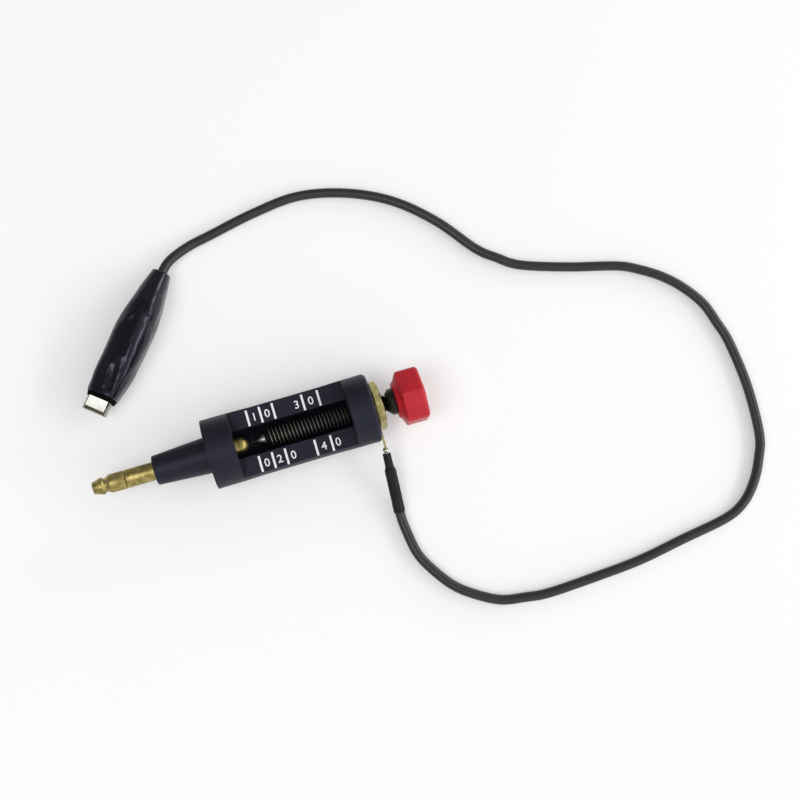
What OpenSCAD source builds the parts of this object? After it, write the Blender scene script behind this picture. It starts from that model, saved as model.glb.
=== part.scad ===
// Adjustable spark plug tester: a moulded barrel with a window, a fixed ball electrode on the plug
// terminal, a pointed electrode set by a screw and knob, and an earth lead with a booted spring clip.
// X runs along the barrel from the terminal to the knob, Z is up, and the tester lies on z = 0.

/* [Barrel] */
// Outer diameter of the barrel
barrel_d = 24; // [22:0.5:30]
// Length of the solid collar in front of the window
front_collar_len = 9.4; // [8:0.1:14]
// Length of the window along the barrel
window_len = 40; // [36:0.5:50]
// Length of the solid collar behind the window
rear_collar_len = 8.6; // [7.5:0.1:14]
// Height of the two scale flats above the barrel's axis
flat_h = 3.7; // [3.4:0.1:6]
// Width of the slot between the scale flats
slot_w = 9.6; // [8.5:0.1:12]
// Rounding of the barrel's rear edge
rear_round = 1.3; // [0.4:0.1:2]
// Rounding of the barrel's front edge
front_round = 0.2; // [0.1:0.05:1]
// How much slimmer the barrel is at the middle of its window
barrel_waist = 0.5; // [0.1:0.1:1]

/* [Nose] */
// Length of the tapered nose in front of the barrel
nose_len = 18.8; // [14:0.1:26]
// Nose diameter at its front end
nose_front_d = 10.1; // [9.5:0.1:12]
// Nose diameter where it meets the barrel
nose_rear_d = 12.6; // [12:0.1:16]
// Bevel on the nose's front edge
nose_bevel = 0.4; // [0.2:0.1:1]

/* [Plug terminal] */
// Diameter of the terminal nut and of its stud
pin_d = 6.35; // [6:0.05:8]
// Length of stud that shows between the nose and the nut
stud_show = 10; // [6:0.1:14]
// Length of the terminal nut
nut_len = 11.2; // [10:0.1:14]
// Diameter of the nut's front face
nut_tip_d = 4; // [3:0.1:5]
// Largest diameter of the nut's rounded head
nut_head_d = 5.8; // [5.4:0.1:6]
// Length of the nut's rounded head
nut_head_len = 3.5; // [2.5:0.1:4]
// Diameter of the neck behind the nut's head
nut_neck_d = 4.7; // [4.4:0.1:5.2]
// Distance from the nut's tip to its full diameter
nut_shoulder_at = 6; // [5.6:0.1:7]
// Bevel on both sides of the joint between nut and stud
joint_bevel = 0.3; // [0.25:0.05:0.5]
// Diameter of the stud's threaded end inside the nut
spigot_d = 3; // [2.5:0.1:3.6]
// Length of the stud's threaded end inside the nut
spigot_len = 7; // [5:0.1:9]
// Diameter of the stud's ball end
ball_d = 5.8; // [5:0.1:5.9]
// How far the stud's ball end reaches into the window
ball_reach = 4.45; // [3.8:0.05:6]

/* [Adjuster] */
// Diameter of the adjusting screw
screw_d = 6.35; // [5:0.05:7]
// Length of screw that shows between the bush and the stop collar
screw_show = 1.9; // [1.2:0.1:4]
// Bevel on the screw's inner end
screw_bevel = 0.6; // [0.2:0.1:1]
// Gap between the ball and the point
spark_gap = 0.85; // [0.8:0.05:4]
// Length of the point's cone
point_len = 4.9; // [3:0.1:8]
// Diameter of the point's cone at its base
point_d = 4.8; // [4:0.1:5]
// Diameter of the flat left on the point's tip
point_tip_d = 0.3; // [0.2:0.1:0.8]
// Diameter of the point's peg inside the screw
peg_d = 3; // [2:0.1:3.6]
// Length of the point's peg inside the screw
peg_len = 6; // [4:0.1:9]
// Bush size across its flats
bush_af = 14.8; // [14:0.1:18]
// Turn of the bush's hexagon from corner upwards, in degrees
bush_turn = 14; // [0:1:59]
// Thickness of the bush's hexagon head
bush_head_len = 2.4; // [2:0.1:5]
// Diameter of the bush's shank in the barrel
bush_shank_d = 9.5; // [9:0.1:11]
// Plastic left between the bush's shank and the window
bush_wall = 1.6; // [1:0.1:3]
// Stop collar diameter
collar_d = 9.2; // [8.5:0.1:12]
// Stop collar length
collar_len = 2.9; // [2:0.1:5]
// Knob size across its flats
knob_af = 18; // [16.5:0.1:20]
// Diameter to which the knob's corners are turned
knob_corner_d = 20; // [19:0.1:22]
// Length of the knob's hexagon grip
knob_len = 7.6; // [6.5:0.1:12]
// Length of the round boss on the knob's back
knob_boss_len = 1.2; // [0.8:0.1:2]
// Length of the knob's bevelled back, between boss and grip
knob_back_len = 1; // [0.6:0.1:2]
// Diameter of the boss's face
knob_back_d = 12.4; // [11:0.1:14]
// Diameter of the boss where it meets the bevelled back
knob_boss_d = 14.2; // [14:0.1:16]
// Height of the dome on the knob's end
knob_dome = 0.8; // [0.4:0.1:1.5]
// Rounding of the knob's outer edge
knob_round = 1.3; // [0.5:0.1:2]
// Screw head size across its flats, inside the knob
head_af = 11; // [9.5:0.1:12]
// Screw head length, inside the knob
head_len = 4; // [3:0.1:5]

/* [Lead end] */
// Thickness of the ring tag
tag_t = 0.6; // [0.4:0.1:1]
// Diameter of the tag's ring
tag_ring_d = 13; // [12.5:0.1:14]
// Width of the tag's tongue
tag_w = 3.2; // [2:0.1:4]
// Distance from the barrel's axis to the bend in the tongue
tag_bend_r = 13; // [12.5:0.1:17]
// Length of tongue past the bend
tag_end_len = 2.6; // [2:0.1:5]
// Lean of the tongue's end towards the terminal, in degrees
tag_lean = 3; // [0:0.5:8]
// Diameter of the solder bead
solder_d = 2.2; // [1.8:0.1:3]
// Diameter of the bared strands
strand_d = 1.5; // [1:0.1:1.8]
// Length of the whole heat-shrink sleeve
sleeve_len = 21; // [16:0.5:30]
// Length of the sleeve's narrow end
sleeve_neck_len = 5.2; // [3:0.1:8]
// Diameter of the sleeve's narrow end
sleeve_neck_d = 3; // [2.6:0.1:3.3]
// Wall of the sleeve over the cord
sleeve_wall = 0.3; // [0.2:0.05:0.6]
// Diameter of the lead's cord
cord_d = 3.4; // [3:0.1:4]

/* [Clip] */
// Length of the whole clip, from the boot's cord end to the jaw tips
clip_len = 54.3; // [53:0.1:58]
// Height of the line where the jaws meet
jaw_z = 7; // [6.8:0.1:7.2]
// Width of the lower jaw
jaw_w = 8.4; // [7.8:0.1:8.6]
// Thickness of the jaws' sheet metal
sheet = 0.6; // [0.4:0.05:0.7]
// Distance from the boot's cord end to the clip's rivet
rivet_at = 30; // [29:0.1:31]
// Diameter of the rivet
rivet_d = 2.4; // [2:0.1:2.6]
// Diameter of the spring's wire
spring_wire = 0.7; // [0.5:0.05:0.8]
// Turns of the spring's coil, not counting the half turn between its legs
spring_turns = 2; // [1:1:2]
// Length of the soft boot
boot_len = 47.5; // [46:0.1:48]
// Thickness of the boot's wall
boot_wall = 0.85; // [0.6:0.05:0.95]
// Diameter of the clip's wire screw
clip_screw_d = 2.5; // [2:0.1:3]

/* [Hidden] */
$fn = 64;

// Clearances: over is how far a cut runs past a face
over = 1;
fixed_fit = 0.02;
running_fit = 0.05;
screw_clear = 0.4;
seat_gap = 0.1;

// Stations along the barrel's axis, worked out from the tester's whole length
total_len = nut_len + stud_show + nose_len + front_collar_len + window_len + rear_collar_len + tag_t
    + bush_head_len + screw_show + collar_len + knob_boss_len + knob_back_len + knob_len + knob_dome;
axis_z = barrel_d / 2;
nut_x = -total_len / 2;
stud_x = nut_x + nut_len;
nose_x = stud_x + stud_show;
barrel_x = nose_x + nose_len;
window_x = barrel_x + front_collar_len;
window_end_x = window_x + window_len;
rear_x = window_end_x + rear_collar_len;
bush_x = rear_x + tag_t;
bush_end_x = bush_x + bush_head_len;
collar_x = bush_end_x + screw_show;
knob_x = collar_x + collar_len;
ball_x = window_x + ball_reach;
point_x = ball_x + spark_gap;
screw_x = point_x + point_len;
head_x = knob_x + knob_boss_len + knob_back_len;
bush_shank_len = rear_collar_len - bush_wall;
collar_bevel = min(collar_len / 2, (collar_d - screw_d) / 2 - 2 * seat_gap);

// Lead end: the tongue drops so that the sleeve's far end lies just above the surface
sleeve_d = cord_d + 2 * (running_fit + sleeve_wall);
sleeve_at = tag_end_len + solder_d / 2 + running_fit;
sleeve_end = sleeve_at + sleeve_len;
sleeve_step = (sleeve_d - sleeve_neck_d) / 2;
cord_at = sleeve_at + sleeve_neck_len + 2 * sleeve_step;
exit_z = sleeve_d / 2 + 3 * seat_gap;
lead_drop = asin((axis_z - exit_z) / (tag_bend_r + sleeve_end));
lead_dir = [-sin(tag_lean), -cos(tag_lean) * cos(lead_drop), -cos(tag_lean) * sin(lead_drop)];
lead_bend = [
    rear_x + tag_t / 2,
    -tag_bend_r * cos(lead_drop),
    axis_z - tag_bend_r * sin(lead_drop)
];
lead_exit = lead_bend + sleeve_end * lead_dir;

// Plan of the cord as it lies on the surface, measured from where it leaves the sleeve
lead_run = [
    [0.5, -8], [2, -16], [6, -23.5], [11, -30], [17.5, -35], [25, -39], [33, -40.5], [41.5, -41.5],
    [58.5, -41], [75.5, -40], [92.5, -37.5], [109.5, -35], [117.5, -31.5], [123.5, -25.5], [128, -18],
    [131, -10], [132.5, 7], [131.5, 24], [129.5, 32.5], [127, 40.5], [122, 48], [116, 54], [108.5, 59],
    [101, 62.5], [84, 67], [67.5, 72.5], [60, 77.5], [53.5, 83],
    [43, 96.5], [30, 108], [14.5, 115.5], [-2.5, 119], [-19.5, 117.2], [-36.3, 113.6]
];
// Plan and rise of the cord's last stretch, which climbs to the boot
lead_climb = [[-44.6, 111.6, 0.5], [-52, 108.2, 1.8]];
clip_from_exit = [-56.2, 104.2];
clip_heading = -129.7;
cord_z = cord_d / 2 + seat_gap;
ring_steps = 2;
cord_sides = 8;

// Clip: heights of its sheets below and above the line where the jaws meet
tail_drop = 5.2;
floor_drop = 4;
mouth_drop = 2.3;
lip_drop = 1.8;
flange_rise = 1;
ear_rise = 0.4;
top_rise = 4.6;
lever_rise = 5.3;
mouth_rise = 2.4;
tip_rise = 1.9;
nose_rise = 1;
wall_gap = 0.3;
// Clip: how far its bends stand ahead of the rivet and behind it
bend_ahead = 4;
shoulder_ahead = 5;
shoulder_behind = 4;
tail_z = jaw_z - tail_drop;
tail_w = 4.2;
tail_end = 7;
crimp_len = 4;
crimp_r = cord_d / 2 + fixed_fit;
clip_cord_z = tail_z + sheet + crimp_r;
clip_cord_end = tail_end + crimp_len;
channel_at = 22;
lever_end = 13;
lever_w = 4.6;
upper_w = jaw_w - 2 * (sheet + 2 * seat_gap);
ear_r = rivet_d;
floor_z = jaw_z - floor_drop;
nose_at = clip_len - 2 * sheet;
rivet_head = 0.6;
rivet_head_d = 3.8;
screw_at = 15.5;
clip_screw_head_d = 4;
clip_screw_head_len = 1.4;
strand_z = tail_z + sheet + strand_d / 2 + fixed_fit;
tooth_pitch = 1.2;
tooth_depth = 0.5;

// Spring: coil round the rivet, with one leg to each lever
spring_r = rivet_d / 2 + spring_wire / 2 + 3 * seat_gap;
spring_step = spring_wire + 5 * seat_gap;
spring_leg = 10;
spring_sides = 6;
spring_rings = 10;

// Boot: rows of station, half width, underside height, top height and sideways sag
boot_rows = [
    [0, 3.2, 1, 7.3, 0.05], [7, 4.6, 0.3, 11, 0.4], [14, 5.65, 0.1, 14.5, 0.95], [22, 6.6, 0.1, 14.6, 0.78],
    [30, 6.6, 0.1, 14.2, 0.75], [37, 6.55, 0.5, 13.6, 0.65], [42, 6.3, 1, 13, 0.5],
    [boot_len, 5.6, 1.4, 12.6, 0.25]
];
boot_sides = 28;
boot_power = 3;

// Places a shape that stands on its own z axis along the barrel, starting at station x
module on_axis(x) {
    translate([x, 0, axis_z]) rotate([0, 90, 0]) children();
}

// Hexagonal prism with a corner upwards once it lies on the barrel's axis
module hex_prism(across_flats, h) {
    cylinder(d = across_flats / cos(30), h = h, $fn = 6);
}

// Waste outside the arc that rounds a profile's corner, turned so that 0 has the material at upper right
module edge_waste(at, r, turn) {
    translate(at) rotate(turn) difference() {
        translate([-over, -over]) square(r + over);
        translate([r, r]) circle(r);
    }
}

// Half section of the nose and barrel, from the nose's front face
module barrel_section() {
    window_at = nose_len + front_collar_len;
    end = window_at + window_len + rear_collar_len;
    difference() {
        polygon([
            [0, 0], [nose_front_d / 2 - nose_bevel, 0], [nose_front_d / 2, nose_bevel],
            [nose_rear_d / 2, nose_len], [barrel_d / 2, nose_len], [barrel_d / 2, window_at],
            [(barrel_d - barrel_waist) / 2, window_at + window_len / 2],
            [barrel_d / 2, window_at + window_len], [barrel_d / 2, end], [0, end]
        ]);
        edge_waste([barrel_d / 2, nose_len], front_round, 90);
        edge_waste([barrel_d / 2, end], rear_round, 180);
    }
}

module barrel() {
    color("#1f2024") difference() {
        on_axis(nose_x) rotate_extrude() barrel_section();
        translate([window_x, -barrel_d, axis_z + flat_h]) cube([window_len, 2 * barrel_d, barrel_d]);
        translate([window_x, -slot_w / 2, axis_z]) cube([window_len, slot_w, barrel_d]);
        on_axis(window_x) cylinder(d = slot_w, h = window_len);
        on_axis(nose_x - over)
            cylinder(d = pin_d + 2 * fixed_fit, h = nose_len + front_collar_len + 2 * over);
        on_axis(window_end_x - over) cylinder(d = screw_d + 2 * screw_clear, h = bush_wall + 2 * over);
        on_axis(rear_x - bush_shank_len)
            cylinder(d = bush_shank_d + 2 * fixed_fit, h = bush_shank_len + over);
    }
}

module terminal_stud() {
    shank = window_x - stud_x - over;
    ball_mid_x = ball_x - ball_d / 2;
    color("#b8963e") union() {
        on_axis(stud_x) rotate_extrude() polygon([
            [0, 0], [pin_d / 2 - joint_bevel, 0], [pin_d / 2, joint_bevel], [pin_d / 2, shank], [0, shank]
        ]);
        on_axis(stud_x + shank - over) cylinder(d = ball_d, h = ball_mid_x - stud_x - shank + over);
        on_axis(ball_mid_x) sphere(d = ball_d);
        on_axis(stud_x - spigot_len) cylinder(d = spigot_d, h = spigot_len + over);
    }
}

module terminal_nut() {
    neck_len = nut_shoulder_at - nut_head_len;
    color("#c3a148") difference() {
        on_axis(nut_x) rotate_extrude() polygon([
            [0, 0], [nut_tip_d / 2, 0], [nut_head_d / 2, nut_head_len * 0.8], [nut_head_d / 2, nut_head_len],
            [nut_neck_d / 2, nut_head_len + neck_len * 0.2], [nut_neck_d / 2, nut_head_len + neck_len * 0.5],
            [pin_d / 2, nut_shoulder_at], [pin_d / 2, nut_len - joint_bevel],
            [pin_d / 2 - joint_bevel, nut_len], [0, nut_len]
        ]);
        on_axis(stud_x - spigot_len - seat_gap)
            cylinder(d = spigot_d + 2 * fixed_fit, h = spigot_len + seat_gap + over);
    }
}

module hex_bush() {
    face_r = bush_af / 2 - seat_gap;
    past_r = bush_af / 2 / cos(30) + over;
    color("#c0a04a") difference() {
        union() {
            on_axis(bush_x) intersection() {
                rotate(-bush_turn) hex_prism(bush_af, bush_head_len);
                rotate_extrude() polygon([
                    [0, 0], [past_r, 0], [past_r, bush_head_len - (past_r - face_r) / 2],
                    [face_r, bush_head_len], [0, bush_head_len]
                ]);
            }
            on_axis(rear_x - bush_shank_len) cylinder(d = bush_shank_d, h = bush_shank_len + 2 * tag_t);
        }
        on_axis(rear_x - bush_shank_len - over)
            cylinder(d = screw_d + 2 * running_fit, h = bush_shank_len + tag_t + bush_head_len + 2 * over);
    }
}

// Plane of the ring tag, turned so that -Y runs out along the tongue
module tag_plane() {
    translate([rear_x, 0, axis_z]) rotate([lead_drop, 0, 0]) children();
}

// Frame of the lead's end: the origin is the tongue's bend, and -Y runs out along the sleeve
module lead_frame() {
    tag_plane() translate([tag_t / 2, -tag_bend_r, 0]) rotate([0, 0, -tag_lean]) children();
}

// Round piece along the lead's end, starting at the given distance from the bend
module along_lead(at) {
    lead_frame() translate([0, -at, 0]) rotate([90, 0, 0]) children();
}

module tag_tongue_end() {
    lead_frame() translate([-tag_t / 2, -tag_end_len, -tag_w / 2])
        cube([tag_t, tag_end_len + tag_t / 2, tag_w]);
}

module ring_tag() {
    color("#b99a45") union() {
        difference() {
            on_axis(rear_x) cylinder(d = tag_ring_d, h = tag_t);
            on_axis(rear_x - over) cylinder(d = bush_shank_d + 2 * running_fit, h = tag_t + 2 * over);
        }
        tag_plane() translate([0, -tag_bend_r, -tag_w / 2])
            cube([tag_t, tag_bend_r - (bush_shank_d + over) / 2, tag_w]);
        tag_tongue_end();
    }
}

module solder_bead() {
    color("#c9cacb") difference() {
        along_lead(tag_end_len) sphere(d = solder_d);
        tag_tongue_end();
        along_lead(tag_end_len) cylinder(d = strand_d, h = solder_d);
    }
}

module tag_strands() {
    color("#b5683c") along_lead(tag_end_len) cylinder(d = strand_d, h = cord_at - tag_end_len);
}

module heat_shrink() {
    color("#17171a") along_lead(sleeve_at) rotate_extrude() difference() {
        polygon([
            [0, 0], [sleeve_neck_d / 2, 0], [sleeve_neck_d / 2, sleeve_neck_len],
            [sleeve_d / 2, sleeve_neck_len + sleeve_step], [sleeve_d / 2, sleeve_len], [0, sleeve_len]
        ]);
        translate([0, -over]) square([strand_d / 2 + running_fit, sleeve_len + 2 * over]);
        translate([0, cord_at - sleeve_at]) square([cord_d / 2 + running_fit, sleeve_len]);
    }
}

// Point on the curve through p at whole index i plus fraction f
function on_curve(p, i, f) =
    let (a = p[max(i - 1, 0)], b = p[i], c = p[min(i + 1, len(p) - 1)], d = p[min(i + 2, len(p) - 1)])
    b + f / 2 * (c - a + f * (2 * a - 5 * b + 4 * c - d + f * (3 * (b - c) + d - a)));

// Smooth row of points through p, with the given number of steps between neighbours
function smooth_row(p, steps) = [
    for (i = [0:len(p) - 2], k = [0:steps - 1]) on_curve(p, i, k / steps),
    p[len(p) - 1]
];

function unit(v) = v / norm(v);

// Ring of points round p, square to the direction d, which is never vertical
function ring_at(p, d, r, sides) =
    let (side = unit(cross([0, 0, 1], d)), up = cross(d, side))
    [for (k = [0:sides - 1]) p + r * (cos(360 * k / sides) * side + sin(360 * k / sides) * up)];

// Triangles of the wall between ring i and ring j
function wall_faces(i, j, sides) = [
    for (k = [0:sides - 1]) let (m = (k + 1) % sides) each [
        [i * sides + k, j * sides + k, j * sides + m],
        [i * sides + k, j * sides + m, i * sides + m]
    ]
];

// Round tube through the points of path
module tube(path, r, sides) {
    last = len(path) - 1;
    rings = [
        for (i = [0:last])
            ring_at(path[i], unit(path[min(i + 1, last)] - path[max(i - 1, 0)]), r, sides)
    ];
    ends = [
        for (k = [1:sides - 2]) each [
            [0, k, k + 1],
            [last * sides, last * sides + k + 1, last * sides + k]
        ]
    ];
    polyhedron(
        points = [for (ring = rings) each ring],
        faces = concat(ends, [for (i = [0:last - 1]) each wall_faces(i, i + 1, sides)])
    );
}

// Point of the clip's own frame in the tester's frame
clip_origin = [lead_exit.x + clip_from_exit.x, lead_exit.y + clip_from_exit.y, 0];
function clip_point(u, z) = clip_origin + [u * cos(clip_heading), u * sin(clip_heading), z];

cord_path = concat(
    [lead_bend + cord_at * lead_dir, lead_exit],
    [for (p = lead_run) [lead_exit.x + p.x, lead_exit.y + p.y, cord_z]],
    [for (p = lead_climb) [lead_exit.x + p.x, lead_exit.y + p.y, cord_z + p.z]],
    [clip_point(0, clip_cord_z), clip_point(clip_cord_end, clip_cord_z)]
);

module lead_cord() {
    color("#3a3b3d") tube(smooth_row(cord_path, ring_steps), cord_d / 2, cord_sides);
}

module spark_point() {
    color("#9a9a9c") on_axis(point_x) rotate_extrude() polygon([
        [0, 0], [point_tip_d / 2, 0], [point_d / 2, point_len], [peg_d / 2, point_len],
        [peg_d / 2, point_len + peg_len], [0, point_len + peg_len]
    ]);
}

module adjusting_screw() {
    len = head_x - screw_x - running_fit + head_len / 2;
    color("#26262a") difference() {
        union() {
            on_axis(screw_x + running_fit) rotate_extrude() polygon([
                [0, 0], [screw_d / 2 - screw_bevel, 0], [screw_d / 2, screw_bevel],
                [screw_d / 2, len], [0, len]
            ]);
            on_axis(head_x) hex_prism(head_af, head_len);
        }
        on_axis(screw_x - over)
            cylinder(d = peg_d + 2 * running_fit, h = peg_len + seat_gap + over);
    }
}

module stop_collar() {
    color("#141416") difference() {
        on_axis(collar_x) rotate_extrude() polygon([
            [0, 0], [collar_d / 2 - collar_bevel, 0], [collar_d / 2, collar_bevel],
            [collar_d / 2, collar_len], [0, collar_len]
        ]);
        on_axis(collar_x - over) cylinder(d = screw_d + 2 * fixed_fit, h = collar_len + 2 * over);
    }
}

// Turned limit of the knob's grip: rounded corners and a domed end
module knob_turned(len) {
    r = knob_corner_d / 2;
    dome_r = (pow(knob_af / 2, 2) + pow(knob_dome, 2)) / 2 / knob_dome;
    rim_drop = dome_r - sqrt(pow(dome_r, 2) - pow(r - knob_round, 2));
    rotate_extrude() intersection() {
        difference() {
            square([r, len]);
            edge_waste([r, len - rim_drop], knob_round, 180);
        }
        translate([0, len - dome_r]) circle(dome_r);
    }
}

// Two opposite sides of the knob's hexagon, with the bevels that run from them to the boss
module knob_sides(len) {
    boss_r = knob_boss_d / 2;
    side = knob_af / 2;
    grip_at = knob_boss_len + knob_back_len;
    rotate([90, 0, 90]) linear_extrude(2 * knob_corner_d, center = true) polygon([
        [-boss_r, knob_boss_len], [boss_r, knob_boss_len], [side, grip_at],
        [side, len + over], [-side, len + over], [-side, grip_at]
    ]);
}

module knob() {
    grip_at = knob_boss_len + knob_back_len;
    len = grip_at + knob_len + knob_dome;
    color("#c1272d") difference() {
        on_axis(knob_x) union() {
            cylinder(d1 = knob_back_d, d2 = knob_boss_d, h = knob_boss_len);
            intersection() {
                knob_sides(len);
                rotate(60) knob_sides(len);
                rotate(120) knob_sides(len);
                knob_turned(len);
            }
        }
        on_axis(knob_x - over)
            cylinder(d = screw_d + 2 * fixed_fit, h = grip_at + 2 * over);
        on_axis(head_x) hex_prism(head_af + 2 * fixed_fit, head_len + fixed_fit);
    }
}

// Frame of the clip: X runs from the boot's cord end to the jaw tips, and Z is up from the surface
module clip_frame() {
    translate(clip_origin) rotate([0, 0, clip_heading]) children();
}

// Side outline, drawn with the clip's X and Z, made as wide as given
module side_plate(w) {
    rotate([90, 0, 0]) linear_extrude(height = w, center = true) children();
}

// Round hole, pin or collar across the clip at its rivet
module across_rivet(d, w) {
    translate([rivet_at, w / 2, jaw_z]) rotate([90, 0, 0]) cylinder(d = d, h = w);
}

// Row of tooth gaps in a jaw's front lip, pointing up or down
module tooth_gaps(w, flip) {
    count = floor(w / tooth_pitch);
    for (i = [0:count - 1])
        translate([clip_len - 2 * sheet, (i - (count - 1) / 2) * tooth_pitch, jaw_z])
            rotate([90, 0, 90]) linear_extrude(height = 3 * sheet) polygon([
                [-tooth_pitch / 3, 0], [tooth_pitch / 3, 0], [0, flip * tooth_depth]
            ]);
}

module clip_lower_jaw() {
    inner_w = jaw_w - 2 * sheet;
    lip_z = jaw_z - lip_drop;
    mouth_z = jaw_z - mouth_drop;
    bend_at = rivet_at + bend_ahead;
    color("#c8c6bd") clip_frame() difference() {
        union() {
            difference() {
                side_plate(jaw_w) union() {
                    polygon([
                        [channel_at, floor_z], [bend_at, floor_z], [boot_len, mouth_z], [clip_len, lip_z],
                        [clip_len, jaw_z + flange_rise], [rivet_at + shoulder_ahead, jaw_z + ear_rise],
                        [rivet_at - shoulder_behind, jaw_z - flange_rise], [channel_at, floor_z + ear_r / 2]
                    ]);
                    translate([rivet_at, jaw_z]) circle(ear_r);
                }
                side_plate(inner_w) polygon([
                    [channel_at - over, floor_z + sheet], [bend_at, floor_z + sheet],
                    [boot_len, mouth_z + sheet], [clip_len - sheet, lip_z + sheet],
                    [clip_len - sheet, jaw_z + 2 * ear_r], [channel_at - over, jaw_z + 2 * ear_r]
                ]);
                translate([clip_len - 2 * sheet, -inner_w / 2, jaw_z - running_fit])
                    cube([3 * sheet, inner_w, jaw_z]);
                tooth_gaps(inner_w, -1);
            }
            side_plate(tail_w) polygon([
                [tail_end, tail_z], [screw_at + clip_screw_d, tail_z], [channel_at + over, floor_z],
                [channel_at + over, floor_z + sheet], [screw_at + clip_screw_d, tail_z + sheet],
                [tail_end, tail_z + sheet]
            ]);
            translate([tail_end, 0, clip_cord_z]) rotate([0, 90, 0]) difference() {
                cylinder(r = crimp_r + sheet, h = crimp_len);
                translate([0, 0, -over]) cylinder(r = crimp_r, h = crimp_len + 2 * over);
            }
        }
        across_rivet(rivet_d + 2 * fixed_fit, jaw_w + 2 * over);
        translate([screw_at, 0, 0]) cylinder(d = clip_screw_d + 2 * fixed_fit, h = clip_cord_z);
    }
}

module clip_upper_jaw() {
    inner_w = upper_w - 2 * sheet;
    top_z = jaw_z + top_rise;
    tip_z = jaw_z + tip_rise;
    mouth_z = jaw_z + mouth_rise;
    lever_z = jaw_z + lever_rise;
    bend_at = rivet_at + bend_ahead;
    tip = clip_len - seat_gap;
    color("#d2d0c8") clip_frame() difference() {
        union() {
            difference() {
                side_plate(upper_w) union() {
                    polygon([
                        [channel_at, top_z], [bend_at, top_z], [boot_len, mouth_z], [nose_at, tip_z],
                        [tip, jaw_z + nose_rise], [tip, jaw_z + running_fit], [tip - sheet, jaw_z + wall_gap],
                        [rivet_at + shoulder_ahead, jaw_z + wall_gap],
                        [rivet_at - shoulder_behind, jaw_z + flange_rise], [channel_at, top_z - flange_rise]
                    ]);
                    translate([rivet_at, jaw_z]) circle(ear_r);
                }
                side_plate(inner_w) polygon([
                    [channel_at - over, top_z - sheet], [bend_at, top_z - sheet], [boot_len, mouth_z - sheet],
                    [nose_at, tip_z - sheet], [tip - sheet, jaw_z + nose_rise - sheet / 2],
                    [tip - sheet, jaw_z - 2 * ear_r], [channel_at - over, jaw_z - 2 * ear_r]
                ]);
                tooth_gaps(upper_w, 1);
            }
            side_plate(lever_w) polygon([
                [lever_end, lever_z], [channel_at + over, top_z], [channel_at + over, top_z - sheet],
                [lever_end, lever_z - sheet]
            ]);
        }
        across_rivet(rivet_d + 2 * running_fit, upper_w + 2 * over);
    }
}

module clip_rivet() {
    color("#b9b7af") clip_frame() union() {
        across_rivet(rivet_d, jaw_w + 2 * rivet_head);
        for (side = [-1, 1])
            translate([0, side * (jaw_w + rivet_head) / 2, 0]) across_rivet(rivet_head_d, rivet_head);
    }
}

// Spring seen along its coil's axis: lower leg, coil from its lowest point round to its top, upper leg
module clip_spring() {
    turn = 360 * spring_turns + 180;
    half = spring_step * turn / 360 / 2;
    steps = spring_rings * turn / 360;
    leg_inset = sheet + spring_wire / 2 + 3 * seat_gap;
    upper_leg = top_rise - leg_inset;
    lower_leg = floor_drop - leg_inset;
    path = concat(
        [[-spring_leg, -lower_leg, -half]],
        [
            for (k = [0:steps]) let (a = turn * k / steps - 90)
                [spring_r * cos(a), spring_r * sin(a), half * (2 * k / steps - 1)]
        ],
        [[-spring_leg, upper_leg, half]]
    );
    color("#8f8f90") clip_frame() translate([rivet_at, 0, jaw_z]) rotate([90, 0, 0])
        tube(path, spring_wire / 2, spring_sides);
}

module clip_screw() {
    head_z = strand_z + strand_d / 2 + fixed_fit;
    color("#a9a79f") clip_frame() union() {
        translate([screw_at, 0, tail_z])
            cylinder(d = clip_screw_d, h = head_z - tail_z + clip_screw_head_len / 2);
        translate([screw_at, 0, head_z]) cylinder(d = clip_screw_head_d, h = clip_screw_head_len);
    }
}

module clip_strands() {
    color("#b5683c") clip_frame() translate([clip_cord_end, 0, strand_z]) rotate([0, 90, 0])
        cylinder(d = strand_d, h = screw_at - clip_screw_d / 2 - seat_gap - clip_cord_end);
}

// Signed power, for the boot's squarish rings
function signed_pow(v, e) = sign(v) * pow(abs(v), e);

// Ring of the boot's section at station u, half width a, heights from low to high and sideways sag
function boot_ring(u, a, low, high, sag) = [
    for (k = [0:boot_sides - 1]) let (t = 360 * k / boot_sides) [
        u,
        sag + a * signed_pow(cos(t), 2 / boot_power),
        (low + high) / 2 + (high - low) / 2 * signed_pow(sin(t), 2 / boot_power)
    ]
];

module clip_boot() {
    rows = smooth_row(boot_rows, ring_steps);
    snug = cord_d / 2 + 3 * seat_gap;
    outer = [for (r = rows) boot_ring(r[0], r[1], r[2], r[3], r[4])];
    inner = [
        for (i = [len(rows) - 1:-1:0]) let (r = rows[i])
            i == 0 ? boot_ring(r[0], snug, clip_cord_z - snug, clip_cord_z + snug, r[4])
            : boot_ring(r[0], r[1] - boot_wall, r[2] + boot_wall, r[3] - boot_wall, r[4])
    ];
    rings = concat(outer, inner);
    color("#19191c") clip_frame() polyhedron(
        points = [for (ring = rings) each ring],
        faces = [for (i = [0:len(rings) - 1]) each wall_faces(i, (i + 1) % len(rings), boot_sides)]
    );
}

barrel();
terminal_stud();
terminal_nut();
hex_bush();
ring_tag();
solder_bead();
tag_strands();
heat_shrink();
lead_cord();
spark_point();
adjusting_screw();
stop_collar();
knob();
clip_boot();
clip_lower_jaw();
clip_upper_jaw();
clip_rivet();
clip_spring();
clip_screw();
clip_strands();
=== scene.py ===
"""Looks of the spark plug tester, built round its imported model.

Sizes are in millimetres in the tester's frame: X along the barrel from the terminal to the knob, Z up from
the surface that the tester lies on. A piece becomes metres when its mesh is made. The studio's floor, lamps
and near limit are given in metres. Angles are in degrees, apart from those that a formula uses.
"""

import logging
import math
from dataclasses import dataclass, field
from enum import Enum
from typing import Callable, Sequence

import bmesh
import bpy
from mathutils import Matrix, Vector, noise


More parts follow.
